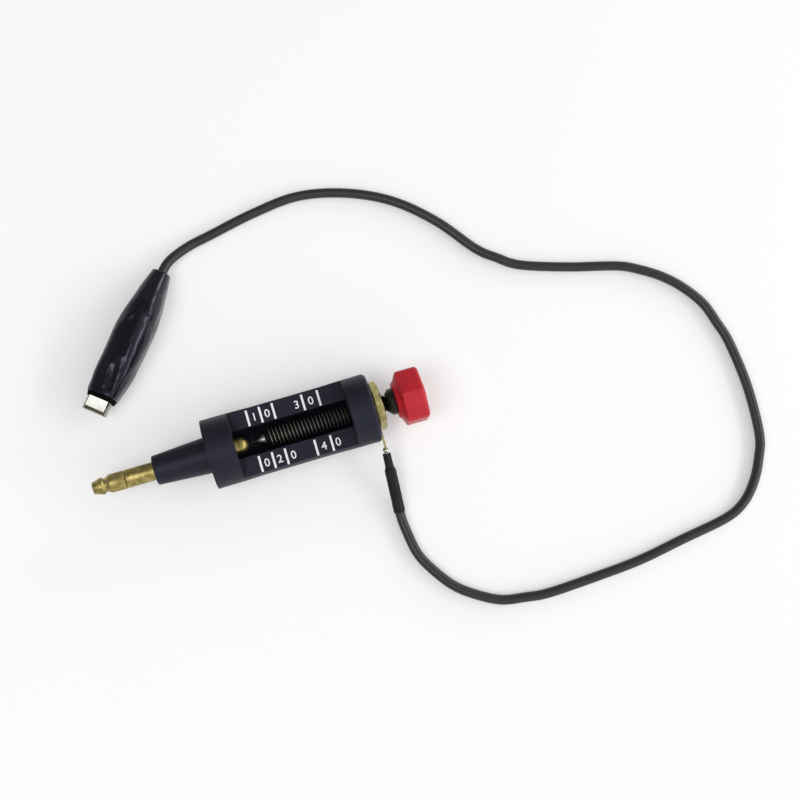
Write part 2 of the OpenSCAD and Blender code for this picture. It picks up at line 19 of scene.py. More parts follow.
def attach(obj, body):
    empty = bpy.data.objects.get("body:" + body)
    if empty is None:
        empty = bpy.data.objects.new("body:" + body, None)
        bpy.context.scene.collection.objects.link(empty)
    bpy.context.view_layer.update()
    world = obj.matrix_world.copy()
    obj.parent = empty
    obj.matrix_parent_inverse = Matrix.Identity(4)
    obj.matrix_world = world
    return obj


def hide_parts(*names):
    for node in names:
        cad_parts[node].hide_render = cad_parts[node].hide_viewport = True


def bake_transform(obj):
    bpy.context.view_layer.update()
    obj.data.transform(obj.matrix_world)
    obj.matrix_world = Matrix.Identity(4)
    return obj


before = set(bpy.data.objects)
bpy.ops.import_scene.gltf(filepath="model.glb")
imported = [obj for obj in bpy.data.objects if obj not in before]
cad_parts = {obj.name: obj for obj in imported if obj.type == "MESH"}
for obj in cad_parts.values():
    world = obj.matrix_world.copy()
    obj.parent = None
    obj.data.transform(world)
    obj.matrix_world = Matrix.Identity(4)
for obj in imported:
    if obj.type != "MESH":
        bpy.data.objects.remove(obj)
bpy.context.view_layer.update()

Colour = tuple[float, float, float]
Place = tuple[float, float, float]
Station = tuple[float, float]
Span = tuple[float, float]
Skin = bmesh.types.BMesh
Piece = bpy.types.Object
Tree = bpy.types.NodeTree
Socket = bpy.types.NodeSocket

LOG = logging.getLogger("spark_tester")
MM = 0.001
FULL_TURN = 2 * math.pi

# Points closer than these merge: in a turned or wrapped skin, after a cut, in a copied node or a thread
MERGE = 0.0005
CUT_MERGE = 0.001
NODE_MERGE = 0.002

# A copied node's faces become one where they meet more flatly than the first angle, and the brass pieces'
# edges are rounded past the second
FLAT_ANGLE = 0.6
BRASS_ANGLE = 24.0

# Sockets of a Mix node that mixes colours
MIX_SHARE = 0
MIX_FIRST = 6
MIX_SECOND = 7
MIX_RESULT = 2

# Places that sub-assemblies share
AXIS_Z = 12.0
FLAT_H = 3.7
WINDOW_X = -8.8
CLIP_CORD_Z = 4.12
CLIP_CORD_END = 11.0
CLIP_HEADING = math.radians(-129.7)
CLIP_FRAME = Matrix.Translation((-17.3953, 67.737, 0.0)) @ Matrix.Rotation(CLIP_HEADING, 4, "Z")
ON_AXIS = Matrix.Translation((0.0, 0.0, AXIS_Z))


class Body(Enum):
    """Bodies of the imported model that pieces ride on."""

    TESTER = "tester"
    POINT = "point"
    ADJUSTER = "adjuster"
    CLIP_UPPER = "clip_upper"


class Grain(Enum):
    """How a finish's fine relief runs over a piece: stretch along X, Y and Z."""

    MOULDED = (1.0, 1.0, 1.0)
    TURNED = (1.0, 40.0, 40.0)
    BRUSHED = (25.0, 1.0, 1.0)


def ranged(tree: Tree, value: Socket, given: Span, wanted: Span = (0.0, 1.0)) -> Socket:
    """Maps a value's given span onto a wanted one, held at both ends.

    Args:
        tree: Node tree that the node joins.
        value: The value.
        given: Its span.
        wanted: The span that it becomes.

    Returns:
        The mapped value.
    """
    node = tree.nodes.new("ShaderNodeMapRange")
    for name, number in zip(("From Min", "From Max", "To Min", "To Max"), (*given, *wanted)):
        node.inputs[name].default_value = number
    tree.links.new(value, node.inputs["Value"])
    return node.outputs["Result"]


def speckle(tree: Tree, place: Socket, size: float, detail: float, rough: float = 0.5) -> Socket:
    """Noise of a given size.

    Args:
        tree: Node tree that the node joins.
        place: Coordinates that it follows.
        size: Size of its specks.
        detail: How many finer layers it has.
        rough: How strong the finer layers are.

    Returns:
        The noise.
    """
    node = tree.nodes.new("ShaderNodeTexNoise")
    node.inputs["Scale"].default_value = 1.0 / (size * MM)
    node.inputs["Detail"].default_value = detail
    node.inputs["Roughness"].default_value = rough
    tree.links.new(place, node.inputs["Vector"])
    return node.outputs["Fac"]


@dataclass(frozen=True)
class Finish:
    """Procedural finish of one material slot.

    Colours cloud between colour and shade, roughness between its two ends, and the grain gives a fine relief.
    """

    slot: str
    colour: Colour
    shade: Colour
    roughness: Span
    grain: Grain = Grain.MOULDED
    grain_size: float = 0.3
    relief: float = 0.01
    cloud_size: float = 6.0
    metallic: float = 0.0
    specular: float = 0.5
    sheen: Colour = (1.0, 1.0, 1.0)
    heading: float = 0.0
    layer: str = "base"
    worn: Colour | None = None
    grain_detail: float = 3.0
    gloss_span: Span = (0.3, 0.7)
    cloud_detail: float = 5.0
    cloud_rough: float = 0.6
    cloud_span: Span = (0.35, 0.65)

    def material(self) -> bpy.types.Material:
        """Returns the finish's material, made at its first use."""
        known = bpy.data.materials.get(f"{self.slot}_{self.layer}")
        return known if known else self._make()

    def _make(self) -> bpy.types.Material:
        """Builds the material's nodes on Object coordinates.

        Returns:
            The new material.
        """
        made = bpy.data.materials.new(f"{self.slot}_{self.layer}")
        made.use_nodes = True
        tree = made.node_tree
        shader = tree.nodes["Principled BSDF"]
        shader.inputs["Metallic"].default_value = self.metallic
        shader.inputs["Specular IOR Level"].default_value = self.specular
        shader.inputs["Specular Tint"].default_value = (*self.sheen, 1.0)
        place = tree.nodes.new("ShaderNodeTexCoord").outputs["Object"]
        fine = self._grained(tree, place)
        tint = self._rubbed_and_shaded(tree, self._clouded(tree, place))
        tree.links.new(tint, shader.inputs["Base Color"])
        tree.links.new(ranged(tree, fine, self.gloss_span, self.roughness), shader.inputs["Roughness"])
        tree.links.new(self._raised(tree, fine), shader.inputs["Normal"])
        return made

    def _grained(self, tree: Tree, place: Socket) -> Socket:
        """Fine noise, drawn out along the grain."""
        along = tree.nodes.new("ShaderNodeMapping")
        along.vector_type = "TEXTURE"
        along.inputs["Rotation"].default_value = (0.0, 0.0, self.heading)
        along.inputs["Scale"].default_value = self.grain.value
        tree.links.new(place, along.inputs["Vector"])
        return speckle(tree, along.outputs["Vector"], self.grain_size, self.grain_detail)

    def _raised(self, tree: Tree, fine: Socket) -> Socket:
        """Fine relief of the grain."""
        bump = tree.nodes.new("ShaderNodeBump")
        bump.inputs["Strength"].default_value = 1.0
        bump.inputs["Distance"].default_value = self.relief * MM
        tree.links.new(fine, bump.inputs["Height"])
        return bump.outputs["Normal"]

    def _clouded(self, tree: Tree, place: Socket) -> Socket:
        """Colour that clouds between the finish's colour and its shade."""
        cloud = speckle(tree, place, self.cloud_size, self.cloud_detail, self.cloud_rough)
        tint = tree.nodes.new("ShaderNodeMix")
        tint.data_type = "RGBA"
        tint.inputs[MIX_FIRST].default_value = (*self.colour, 1.0)
        tint.inputs[MIX_SECOND].default_value = (*self.shade, 1.0)
        tree.links.new(ranged(tree, cloud, self.cloud_span), tint.inputs[MIX_SHARE])
        return tint.outputs[MIX_RESULT]

    def _rubbed_and_shaded(self, tree: Tree, tint: Socket) -> Socket:
        """Lets bare worn metal through where the piece's attribute of wear and painted shade says so."""
        if not self.worn:
            return tint
        wear_and_shade = tree.nodes.new("ShaderNodeAttribute")
        wear_and_shade.attribute_name = "wear_and_shade"
        rubbed_and_shaded = tree.nodes.new("ShaderNodeMix")
        rubbed_and_shaded.data_type = "RGBA"
        rubbed_and_shaded.inputs[MIX_SECOND].default_value = (*self.worn, 1.0)
        tree.links.new(wear_and_shade.outputs["Fac"], rubbed_and_shaded.inputs[MIX_SHARE])
        tree.links.new(wear_and_shade.outputs["Fac"], tree.nodes["Principled BSDF"].inputs["Metallic"])
        tree.links.new(tint, rubbed_and_shaded.inputs[MIX_FIRST])
        return rubbed_and_shaded.outputs[MIX_RESULT]


BARREL_BLACK = Finish(
    "barrel_black", (0.0058, 0.0062, 0.0108), (0.0085, 0.009, 0.0145), (0.42, 0.56), grain_size=0.35,
    relief=0.012, specular=0.32, sheen=(0.74, 0.77, 1.0)
)
SCALE_WHITE = Finish(
    "barrel_black", (0.84, 0.85, 0.87), (0.7, 0.71, 0.74), (0.5, 0.62), grain_size=0.25, relief=0.01,
    cloud_size=1.2, layer="print"
)
BRASS = Finish(
    "brass", (0.45, 0.37, 0.145), (0.24, 0.19, 0.062), (0.34, 0.5), Grain.TURNED, grain_size=0.12,
    relief=0.009, cloud_size=1.8, metallic=1.0
)
BUSH_BRASS = Finish(
    "brass", (0.55, 0.48, 0.22), (0.29, 0.25, 0.09), (0.16, 0.28), grain_size=0.25, relief=0.006,
    cloud_size=2.5, metallic=1.0, layer="bush"
)
SOLDER = Finish("solder", (0.72, 0.72, 0.71), (0.5, 0.5, 0.5), (0.2, 0.4), relief=0.02, metallic=1.0)
COPPER = Finish("copper", (0.6, 0.27, 0.14), (0.42, 0.18, 0.09), (0.3, 0.45), metallic=1.0)
TINNED = Finish(
    "copper", (0.6, 0.6, 0.59), (0.42, 0.42, 0.42), (0.25, 0.4), metallic=1.0, layer="tinned"
)
SHRINK_BLACK = Finish(
    "shrink_black", (0.006, 0.006, 0.007), (0.01, 0.01, 0.011), (0.4, 0.55), grain_size=0.9, relief=0.03,
    specular=0.18
)
CORD_GREY = Finish(
    "cord_grey", (0.009, 0.0092, 0.0105), (0.015, 0.0152, 0.0165), (0.36, 0.48), grain_size=0.5, relief=0.012
)
POINT_STEEL = Finish(
    "point_steel", (0.24, 0.225, 0.21), (0.16, 0.15, 0.145), (0.18, 0.3), Grain.TURNED, grain_size=0.1,
    relief=0.006, metallic=1.0
)
SCREW_BLACK = Finish(
    "screw_black", (0.011, 0.012, 0.011), (0.007, 0.008, 0.007), (0.3, 0.44), grain_size=0.2, relief=0.008,
    metallic=0.1, specular=0.25
)
# Thread: bare worn crests that fade out towards the knob as painted shade, through the screw's attribute of
# wear and shade
THREAD_BLACK = Finish(
    "screw_black", (0.006, 0.006, 0.007), (0.004, 0.004, 0.005), (0.32, 0.46), grain_size=0.2, relief=0.008,
    metallic=0.1, specular=0.12, layer="thread", worn=(0.52, 0.48, 0.41)
)
KNOB_RED = Finish(
    "knob_red", (0.49, 0.014, 0.026), (0.4, 0.01, 0.019), (0.34, 0.46), grain_size=0.4, relief=0.012,
    cloud_size=9.0, specular=0.3
)
BOOT_BLACK = Finish(
    "boot_black", (0.0022, 0.0022, 0.0042), (0.0035, 0.0035, 0.006), (0.16, 0.26), grain_size=0.9,
    relief=0.012, specular=0.42, sheen=(0.76, 0.79, 1.0)
)
# Painted shade: the boot's lip and inside past the mouth in a darker, duller black, standing in for the
# shadow in the gap between the lip and the jaw
BOOT_MOUTH_SHADE = Finish(
    "boot_black", (0.0012, 0.0012, 0.0016), (0.0018, 0.0018, 0.0022), (0.7, 0.85), specular=0.05,
    layer="mouth"
)
NICKEL = Finish(
    "nickel", (0.5, 0.495, 0.465), (0.42, 0.415, 0.39), (0.26, 0.4), Grain.BRUSHED, grain_size=0.15,
    relief=0.006, metallic=1.0, heading=CLIP_HEADING
)
# Bare cut edge with painted shade: the jaws' front faces in dark olive, standing in for the shade between the
# teeth
NICKEL_BITE_SHADE = Finish(
    "nickel", (0.16, 0.15, 0.1), (0.07, 0.065, 0.04), (0.3, 0.5), Grain.BRUSHED, grain_size=0.15, relief=0.01,
    cloud_size=1.5, metallic=1.0, heading=CLIP_HEADING, layer="bite_shade"
)
SPRING_STEEL = Finish("spring_steel", (0.4, 0.4, 0.41), (0.3, 0.3, 0.31), (0.25, 0.4), metallic=1.0)


def limit(share: float) -> float:
    """Holds a share between 0 and 1."""
    return max(0.0, min(1.0, share))


def lathe(profile: Sequence[Station], steps: int, closed: bool = False) -> Skin:
    """Turns a profile about the X axis.

    Args:
        profile: Stations along X with their radius.
        steps: Steps of the full turn.
        closed: Whether the profile's last point joins its first, as for a piece with a bore.

    Returns:
        The turned skin, closed and facing outwards.
    """
    bm = bmesh.new()
    verts = [bm.verts.new((x, 0.0, r)) for x, r in profile]
    pairs = list(zip(verts, verts[1:])) + ([(verts[-1], verts[0])] if closed else [])
    edges = [bm.edges.new(pair) for pair in pairs]
    bmesh.ops.spin(
        bm, geom=verts + edges, cent=(0, 0, 0), axis=(1, 0, 0), dvec=(0, 0, 0), angle=FULL_TURN, steps=steps,
        use_merge=True, use_duplicate=False
    )
    bmesh.ops.remove_doubles(bm, verts=bm.verts[:], dist=MERGE)
    bmesh.ops.recalc_face_normals(bm, faces=bm.faces[:])
    return bm


def arc(mid: Station, r: float, start: float, end: float, steps: int) -> list[Station]:
    """Points of an arc in a profile.

    Args:
        mid: Station and radius of the arc's centre.
        r: The arc's own radius.
        start: First angle in degrees, from +X towards outwards.
        end: Last angle in degrees.
        steps: Number of steps.

    Returns:
        The arc's points, both ends included.
    """
    angles = [math.radians(start + (end - start) * k / steps) for k in range(steps + 1)]
    return [(mid[0] + r * math.cos(a), mid[1] + r * math.sin(a)) for a in angles]


def soften(bm: Skin, width: float, segments: int = 2, angle: float = 28.0) -> None:
    """Rounds every edge of a skin that is sharper than an angle.

    Args:
        bm: The skin.
        width: Width of the rounding.
        segments: Number of its segments.
        angle: The angle in degrees.
    """
    least = math.radians(angle)
    edges = [e for e in bm.edges if e.is_manifold and e.calc_face_angle(0.0) > least]
    bmesh.ops.bevel(
        bm, geom=edges, offset=width, offset_type="OFFSET", segments=segments, profile=0.5, affect="EDGES",
        material=-1, clamp_overlap=True
    )


def wrap_grid(rows: int, around: int, point: Callable[[int, float], Vector], closed: bool) -> Skin:
    """Wraps a grid into a tube-like skin.

    Args:
        rows: Number of rings.
        around: Steps round each ring.
        point: Gives the point of a ring at an angle.
        closed: Whether the last ring joins the first; otherwise both ends run to a point.

    Returns:
        The skin, merged and facing outwards.
    """
    spans = rows if closed else rows - 1
    bm = bmesh.new()
    bmesh.ops.create_grid(bm, x_segments=spans, y_segments=around, size=1.0)
    low = min(v.co.x for v in bm.verts)
    reach = max(v.co.x for v in bm.verts) - low
    for v in bm.verts:
        i = round((v.co.x - low) / reach * spans) % rows
        k = round((v.co.y - low) / reach * around) % around
        v.co = point(i, FULL_TURN * k / around)
    bmesh.ops.remove_doubles(bm, verts=bm.verts[:], dist=MERGE)
    bmesh.ops.recalc_face_normals(bm, faces=bm.faces[:])
    return bm


def node_copy(node: str) -> Skin:
    """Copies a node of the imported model.

    Args:
        node: The node's name.

    Returns:
        Its merged skin in millimetres, with flat faces in one piece.
    """
    bm = bmesh.new()
    bm.from_mesh(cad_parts[node].data)
    bm.transform(Matrix.Scale(1 / MM, 4))
    bmesh.ops.remove_doubles(bm, verts=bm.verts[:], dist=NODE_MERGE)
    bmesh.ops.dissolve_limit(bm, angle_limit=math.radians(FLAT_ANGLE), verts=bm.verts[:], edges=bm.edges[:])
    return bm


def carve(body: Skin, cutter: Skin) -> Skin:
    """Cuts one closed skin out of another.

    Args:
        body: Skin that is cut; freed here.
        cutter: Skin of the waste; freed here.

    Returns:
        What is left of the body.
    """
    solids = []
    for bm in (body, cutter):
        mesh = bpy.data.meshes.new("carving")
        bm.to_mesh(mesh)
        bm.free()
        solid = bpy.data.objects.new("carving", mesh)
        bpy.context.scene.collection.objects.link(solid)
        solids.append(solid)
    cut = solids[0].modifiers.new("cut", "BOOLEAN")
    cut.operation = "DIFFERENCE"
    cut.solver = "EXACT"
    cut.object = solids[1]
    left = bmesh.new()
    left.from_mesh(solids[0].evaluated_get(bpy.context.evaluated_depsgraph_get()).to_mesh())
    for solid in solids:
        mesh = solid.data
        bpy.data.objects.remove(solid)
        bpy.data.meshes.remove(mesh)
    bmesh.ops.remove_doubles(left, verts=left.verts[:], dist=CUT_MERGE)
    return left


def add_piece(
    name: str, bm: Skin, finish: Finish, body: Body | None, nodes: Sequence[str] = (), sharp: float = 35.0,
    evened: bool = False
) -> Piece:
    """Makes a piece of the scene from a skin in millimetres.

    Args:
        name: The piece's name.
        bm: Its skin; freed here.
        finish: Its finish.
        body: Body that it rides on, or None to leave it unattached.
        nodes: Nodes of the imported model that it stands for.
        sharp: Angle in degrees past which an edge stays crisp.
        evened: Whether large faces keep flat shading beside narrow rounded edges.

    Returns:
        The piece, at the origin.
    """
    bm.transform(Matrix.Scale(MM, 4))
    mesh = bpy.data.meshes.new(name)
    bm.to_mesh(mesh)
    bm.free()
    mesh.shade_smooth()
    mesh.set_sharp_from_angle(angle=math.radians(sharp))
    mesh.materials.append(finish.material())
    piece = bpy.data.objects.new(name, mesh)
    bpy.context.scene.collection.objects.link(piece)
    if evened:
        even = piece.modifiers.new("even", "WEIGHTED_NORMAL")
        even.keep_sharp = True
    if body:
        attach(piece, body.value)
    if nodes:
        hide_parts(*nodes)
    LOG.info("%s: %d faces", name, len(mesh.polygons))
    return piece


def mark_faces(bm: Skin, chosen: Callable[[bmesh.types.BMFace], bool]) -> bool:
    """Sets the chosen faces of a skin apart for a second finish, and says whether there are any."""
    for face in bm.faces:
        face.material_index = int(chosen(face))
    return any(face.material_index for face in bm.faces)


def smooth_row(points: Sequence[Vector], steps: int) -> list[Vector]:
    """Smooth row of points through the given ones.

    Args:
        points: Points that the row passes through.
        steps: Steps between neighbours.

    Returns:
        The row, ending with the last given point.
    """
    last = len(points) - 1
    row = []
    for i in range(last):
        a, b = points[max(i - 1, 0)], points[i]
        c, d = points[i + 1], points[min(i + 2, last)]
        for k in range(steps):
            f = k / steps
            row.append(b + f / 2 * (c - a + f * (2 * a - 5 * b + 4 * c - d + f * (3 * (b - c) + d - a))))
    return row + [points[last]]


def wire_curve(name: str, path: Sequence[Vector], r: float, sides: int) -> Piece:
    """Round wire along a path.

    Args:
        name: Name of the curve.
        path: Points in millimetres.
        r: Radius in millimetres.
        sides: Resolution of a quarter of its section.

    Returns:
        The curve object, in metres.
    """
    curve = bpy.data.curves.new(name, "CURVE")
    curve.dimensions = "3D"
    curve.bevel_depth = r * MM
    curve.bevel_resolution = sides
    curve.use_fill_caps = True
    spline = curve.splines.new("POLY")
    spline.points.add(len(path) - 1)
    for point, at in zip(spline.points, path):
        point.co = (*(at * MM), 1.0)
    wire = bpy.data.objects.new(name, curve)
    bpy.context.scene.collection.objects.link(wire)
    return wire


@dataclass(frozen=True)
class Lamp:
    """Soft lamp that faces the tester: its place, its width and height, and its strength."""

    name: str
    at: Place
    size: Span
    watts: float

    def hang(self) -> None:
        """Hangs the lamp."""
        light = bpy.data.lights.new(self.name, "AREA")
        light.shape = "RECTANGLE"
        light.size, light.size_y = self.size
        light.energy = self.watts
        lamp = bpy.data.objects.new(self.name, light)
        lamp.location = self.at
        lamp.rotation_euler = (-Vector(self.at)).to_track_quat("-Z", "Y").to_euler()
        bpy.context.scene.collection.objects.link(lamp)


@dataclass
class Studio:
    """Floor, light and the camera at the photograph's angle."""

    eye: Place = (7.23, -58.37, 435.48)
    right: Place = (0.95540572, -0.29008881, 0.05521233)
    up: Place = (0.27853632, 0.94738198, 0.15774951)
    lens: float = 56.25
    sensor: float = 36.0
    near: float = 0.01
    floor_size: float = 6.0
    floor_drop: float = 0.0001
    floor_white: float = 0.92
    floor_rough: float = 0.8
    floor_specular: float = 0.1
    floor_glow: float = 0.25
    lamps: tuple[Lamp, ...] = (
        Lamp("key", (-0.4, -0.14, 0.88), (0.5, 0.5), 3.4),
        Lamp("window", (0.82, -0.24, 0.46), (0.9, 0.16), 2.7),
        Lamp("strip", (0.87, 0.36, 0.26), (0.35, 0.18), 1.45),
    )
    zenith: float = 0.23
    horizon: float = 0.32
    wall_span: Span = (0.35, 0.75)
    bright_wall: float = 1.0
    bright_side: Place = (0.8, -0.6, 0.0)
    bright_span: Span = (-0.3, 0.9)

    def build(self) -> None:
        """Sets the camera, floor, lamps and world."""
        self._camera()
        self._floor()
        for lamp in self.lamps:
            lamp.hang()
        self._world()
        bpy.context.scene.view_settings.view_transform = "Standard"

    def _camera(self) -> None:
        """Places the camera."""
        lens = bpy.data.cameras.new("camera")
        lens.lens = self.lens
        lens.sensor_width = self.sensor
        lens.clip_start = self.near
        camera = bpy.data.objects.new("camera", lens)
        right, up = Vector(self.right), Vector(self.up)
        turn = Matrix((right, up, right.cross(up))).transposed()
        camera.matrix_world = Matrix.Translation(Vector(self.eye) * MM) @ turn.to_4x4()
        bpy.context.scene.collection.objects.link(camera)
        bpy.context.scene.camera = camera

    def _floor(self) -> None:
        """Lays the pale floor."""
        bm = bmesh.new()
        bmesh.ops.create_grid(bm, x_segments=1, y_segments=1, size=self.floor_size / 2)
        mesh = bpy.data.meshes.new("floor")
        bm.to_mesh(mesh)
        bm.free()
        paper = bpy.data.materials.new("floor_paper")
        paper.use_nodes = True
        shader = paper.node_tree.nodes["Principled BSDF"]
        white = self.floor_white
        shader.inputs["Base Color"].default_value = (white, white, white, 1.0)
        shader.inputs["Roughness"].default_value = self.floor_rough
        shader.inputs["Specular IOR Level"].default_value = self.floor_specular
        self._whiten(paper.node_tree, shader)
        mesh.materials.append(paper)
        floor = bpy.data.objects.new("floor", mesh)
        floor.location.z = -self.floor_drop
        bpy.context.scene.collection.objects.link(floor)

    def _whiten(self, tree: Tree, shader: bpy.types.Node) -> None:
        """Lifts the paper towards white where it is seen, and leaves the light that it gives alone."""
        nodes, links = tree.nodes, tree.links
        path = nodes.new("ShaderNodeLightPath")
        seen = path.outputs["Is Camera Ray"]
        for ray in ("Is Glossy Ray", "Is Transmission Ray"):
            either = nodes.new("ShaderNodeMath")
            either.operation = "MAXIMUM"
            links.new(seen, either.inputs[0])
            links.new(path.outputs[ray], either.inputs[1])
            seen = either.outputs[0]
        share = nodes.new("ShaderNodeMath")
        share.operation = "MULTIPLY"
        share.inputs[1].default_value = self.floor_glow
        links.new(seen, share.inputs[0])
        glow = nodes.new("ShaderNodeEmission")
        both = nodes.new("ShaderNodeMixShader")
        links.new(share.outputs[0], both.inputs["Fac"])
        links.new(shader.outputs["BSDF"], both.inputs[1])
        links.new(glow.outputs["Emission"], both.inputs[2])
        links.new(both.outputs["Shader"], nodes["Material Output"].inputs["Surface"])

    def _world(self) -> None:
        """Surrounds the floor with pale walls under a dim ceiling, one side the brightest."""
        world = bpy.data.worlds.new("studio")
        world.use_nodes = True
        tree = world.node_tree
        toward = tree.nodes.new("ShaderNodeTexCoord").outputs["Generated"]
        split = tree.nodes.new("ShaderNodeSeparateXYZ")
        tree.links.new(toward, split.inputs["Vector"])
        side = tree.nodes.new("ShaderNodeVectorMath")
        side.operation = "DOT_PRODUCT"
        side.inputs[1].default_value = self.bright_side
        tree.links.new(toward, side.inputs[0])
        climb = ranged(tree, split.outputs["Z"], self.wall_span, (self.horizon, self.zenith))
        beside = ranged(tree, side.outputs["Value"], self.bright_span, (0.0, self.bright_wall))
        total = tree.nodes.new("ShaderNodeMath")
        tree.links.new(climb, total.inputs[0])
        tree.links.new(beside, total.inputs[1])
        sky = tree.nodes["Background"]
        sky.inputs["Color"].default_value = (1.0, 1.0, 1.0, 1.0)
        tree.links.new(total.outputs["Value"], sky.inputs["Strength"])
        bpy.context.scene.world = world


@dataclass
class Barrel:
    """Moulded nose and barrel with its window."""

    nose_x: float = -37.0
    barrel_x: float = -18.2
    window_x: float = WINDOW_X
    window_end_x: float = 31.2
    rear_x: float = 39.8
    nose_front_r: float = 5.05
    nose_rear_r: float = 6.3
    nose_chamfer: float = 0.35
    r: float = 12.0
    window_r: float = 11.95
    near_waist_r: float = 11.77
    waist_r: float = 11.75
    waist_half: float = 12.0
    rear_round: float = 1.3
    stud_bore_r: float = 3.2
    bore_step_x: float = 0.0
    screw_bore_r: float = 3.575
    bush_bore_r: float = 4.77
    bush_depth: float = 7.0
    flat_h: float = FLAT_H
    slot_r: float = 4.8
    edge: float = 0.2
    edge_segments: int = 3
    turn_steps: int = 128
    round_steps: int = 6
    slot_steps: int = 24

    def build(self) -> None:
        """Turns the barrel, cuts its window and rounds its edges."""
        bm = carve(self._blank(), self._window())
        soften(bm, self.edge, self.edge_segments)
        bm.transform(ON_AXIS)
        add_piece("barrel_moulding", bm, BARREL_BLACK, Body.TESTER, ["barrel"], evened=True)

    def _blank(self) -> Skin:
        """Nose and barrel with their bores, before the window is cut."""
        mid = (self.window_x + self.window_end_x) / 2
        bush_x, rounding = self.rear_x - self.bush_depth, self.rear_round
        nose = [
            (self.nose_x, self.stud_bore_r), (self.nose_x, self.nose_front_r - self.nose_chamfer),
            (self.nose_x + self.nose_chamfer, self.nose_front_r), (self.barrel_x, self.nose_rear_r)
        ]
        barrel = [
            (self.barrel_x, self.r), (self.window_x, self.window_r),
            (mid - self.waist_half, self.near_waist_r), (mid, self.waist_r),
            (mid + self.waist_half, self.near_waist_r), (self.window_end_x, self.window_r),
            *arc((self.rear_x - rounding, self.r - rounding), rounding, 90, 0, self.round_steps)
        ]
        bores = [
            (self.rear_x, self.bush_bore_r), (bush_x, self.bush_bore_r), (bush_x, self.screw_bore_r),
            (self.bore_step_x, self.screw_bore_r), (self.bore_step_x, self.stud_bore_r)
        ]
        return lathe(nose + barrel + bores, self.turn_steps, closed=True)

    def _window(self) -> Skin:
        """Waste of the window: all above the scale flats, and the round-bottomed slot between them."""
        bm = bmesh.new()
        below = [math.pi + math.pi * k / self.slot_steps for k in range(self.slot_steps + 1)]
        reach = 2 * self.r
        section = [(-reach, self.flat_h), (-self.slot_r, self.flat_h)]
        section += [(self.slot_r * math.cos(a), self.slot_r * math.sin(a)) for a in below]
        section += [(self.slot_r, self.flat_h), (reach, self.flat_h), (reach, reach), (-reach, reach)]
        face = bm.faces.new([bm.verts.new((self.window_x, y, z)) for y, z in section])
        grown = bmesh.ops.extrude_face_region(bm, geom=[face])["geom"]
        bmesh.ops.translate(
            bm, vec=(self.window_end_x - self.window_x, 0, 0),
            verts=[v for v in grown if isinstance(v, bmesh.types.BMVert)]
        )
        bmesh.ops.recalc_face_normals(bm, faces=bm.faces[:])
        return bm


@dataclass
class GapScale:
    """White marks and numbers printed on the two flats beside the window's slot."""

    window_x: float = WINDOW_X
    flat_z: float = AXIS_Z + FLAT_H
    marks: tuple[float, ...] = (6.55, 11.1, 15.6, 25.95, 31.45)
    mark_w: float = 0.74
    mark_len: float = 5.5
    ink: float = 0.012
    digit_h: float = 2.8
    digit_share: float = 0.73
    digit_bold: float = 0.03
    upper_y: float = 7.75
    lower_y: float = -8.35
    upper: tuple[tuple[str, float], ...] = (("1", 8.8), ("0", 13.3), ("3", 23.65), ("0", 28.6))
    lower: tuple[tuple[str, float], ...] = (
        ("0", 8.75), ("2", 13.2), ("0", 17.95), ("4", 28.65), ("0", 33.6)
    )

    def build(self) -> None:
        """Prints the marks and numbers of both flats."""
        bm = bmesh.new()
        for y, digits in ((self.upper_y, self.upper), (self.lower_y, self.lower)):
            for mark in self.marks:
                self._mark(bm, self.window_x + mark, y)
            for digit, at in digits:
                self._digit(bm, digit, self.window_x + at, y)
        add_piece("gap_scale_print", bm, SCALE_WHITE, Body.TESTER)

    def _mark(self, bm: Skin, x: float, y: float) -> None:
        """Adds one printed line across a flat."""
        place = Matrix.Translation((x, y, self.flat_z + self.ink / 2))
        size = Matrix.Diagonal((self.mark_w, self.mark_len, self.ink, 1.0))
        bmesh.ops.create_cube(bm, size=1.0, matrix=place @ size)

    def _digit(self, bm: Skin, digit: str, x: float, y: float) -> None:
        """Adds one printed number, its middle at the given place."""
        words = bpy.data.curves.new("digit", "FONT")
        words.body = digit
        words.size = self.digit_h / self.digit_share
        words.offset = self.digit_bold
        words.extrude = self.ink / 2
        words.align_x = "CENTER"
        holder = bpy.data.objects.new("digit", words)
        bpy.context.scene.collection.objects.link(holder)
        mesh = bpy.data.meshes.new_from_object(holder.evaluated_get(bpy.context.evaluated_depsgraph_get()))
        mesh.transform(Matrix.Translation((x, y - self.digit_h / 2, self.flat_z + self.ink / 2)))
        bm.from_mesh(mesh)
        bpy.data.objects.remove(holder)
        bpy.data.curves.remove(words)
        bpy.data.meshes.remove(mesh)


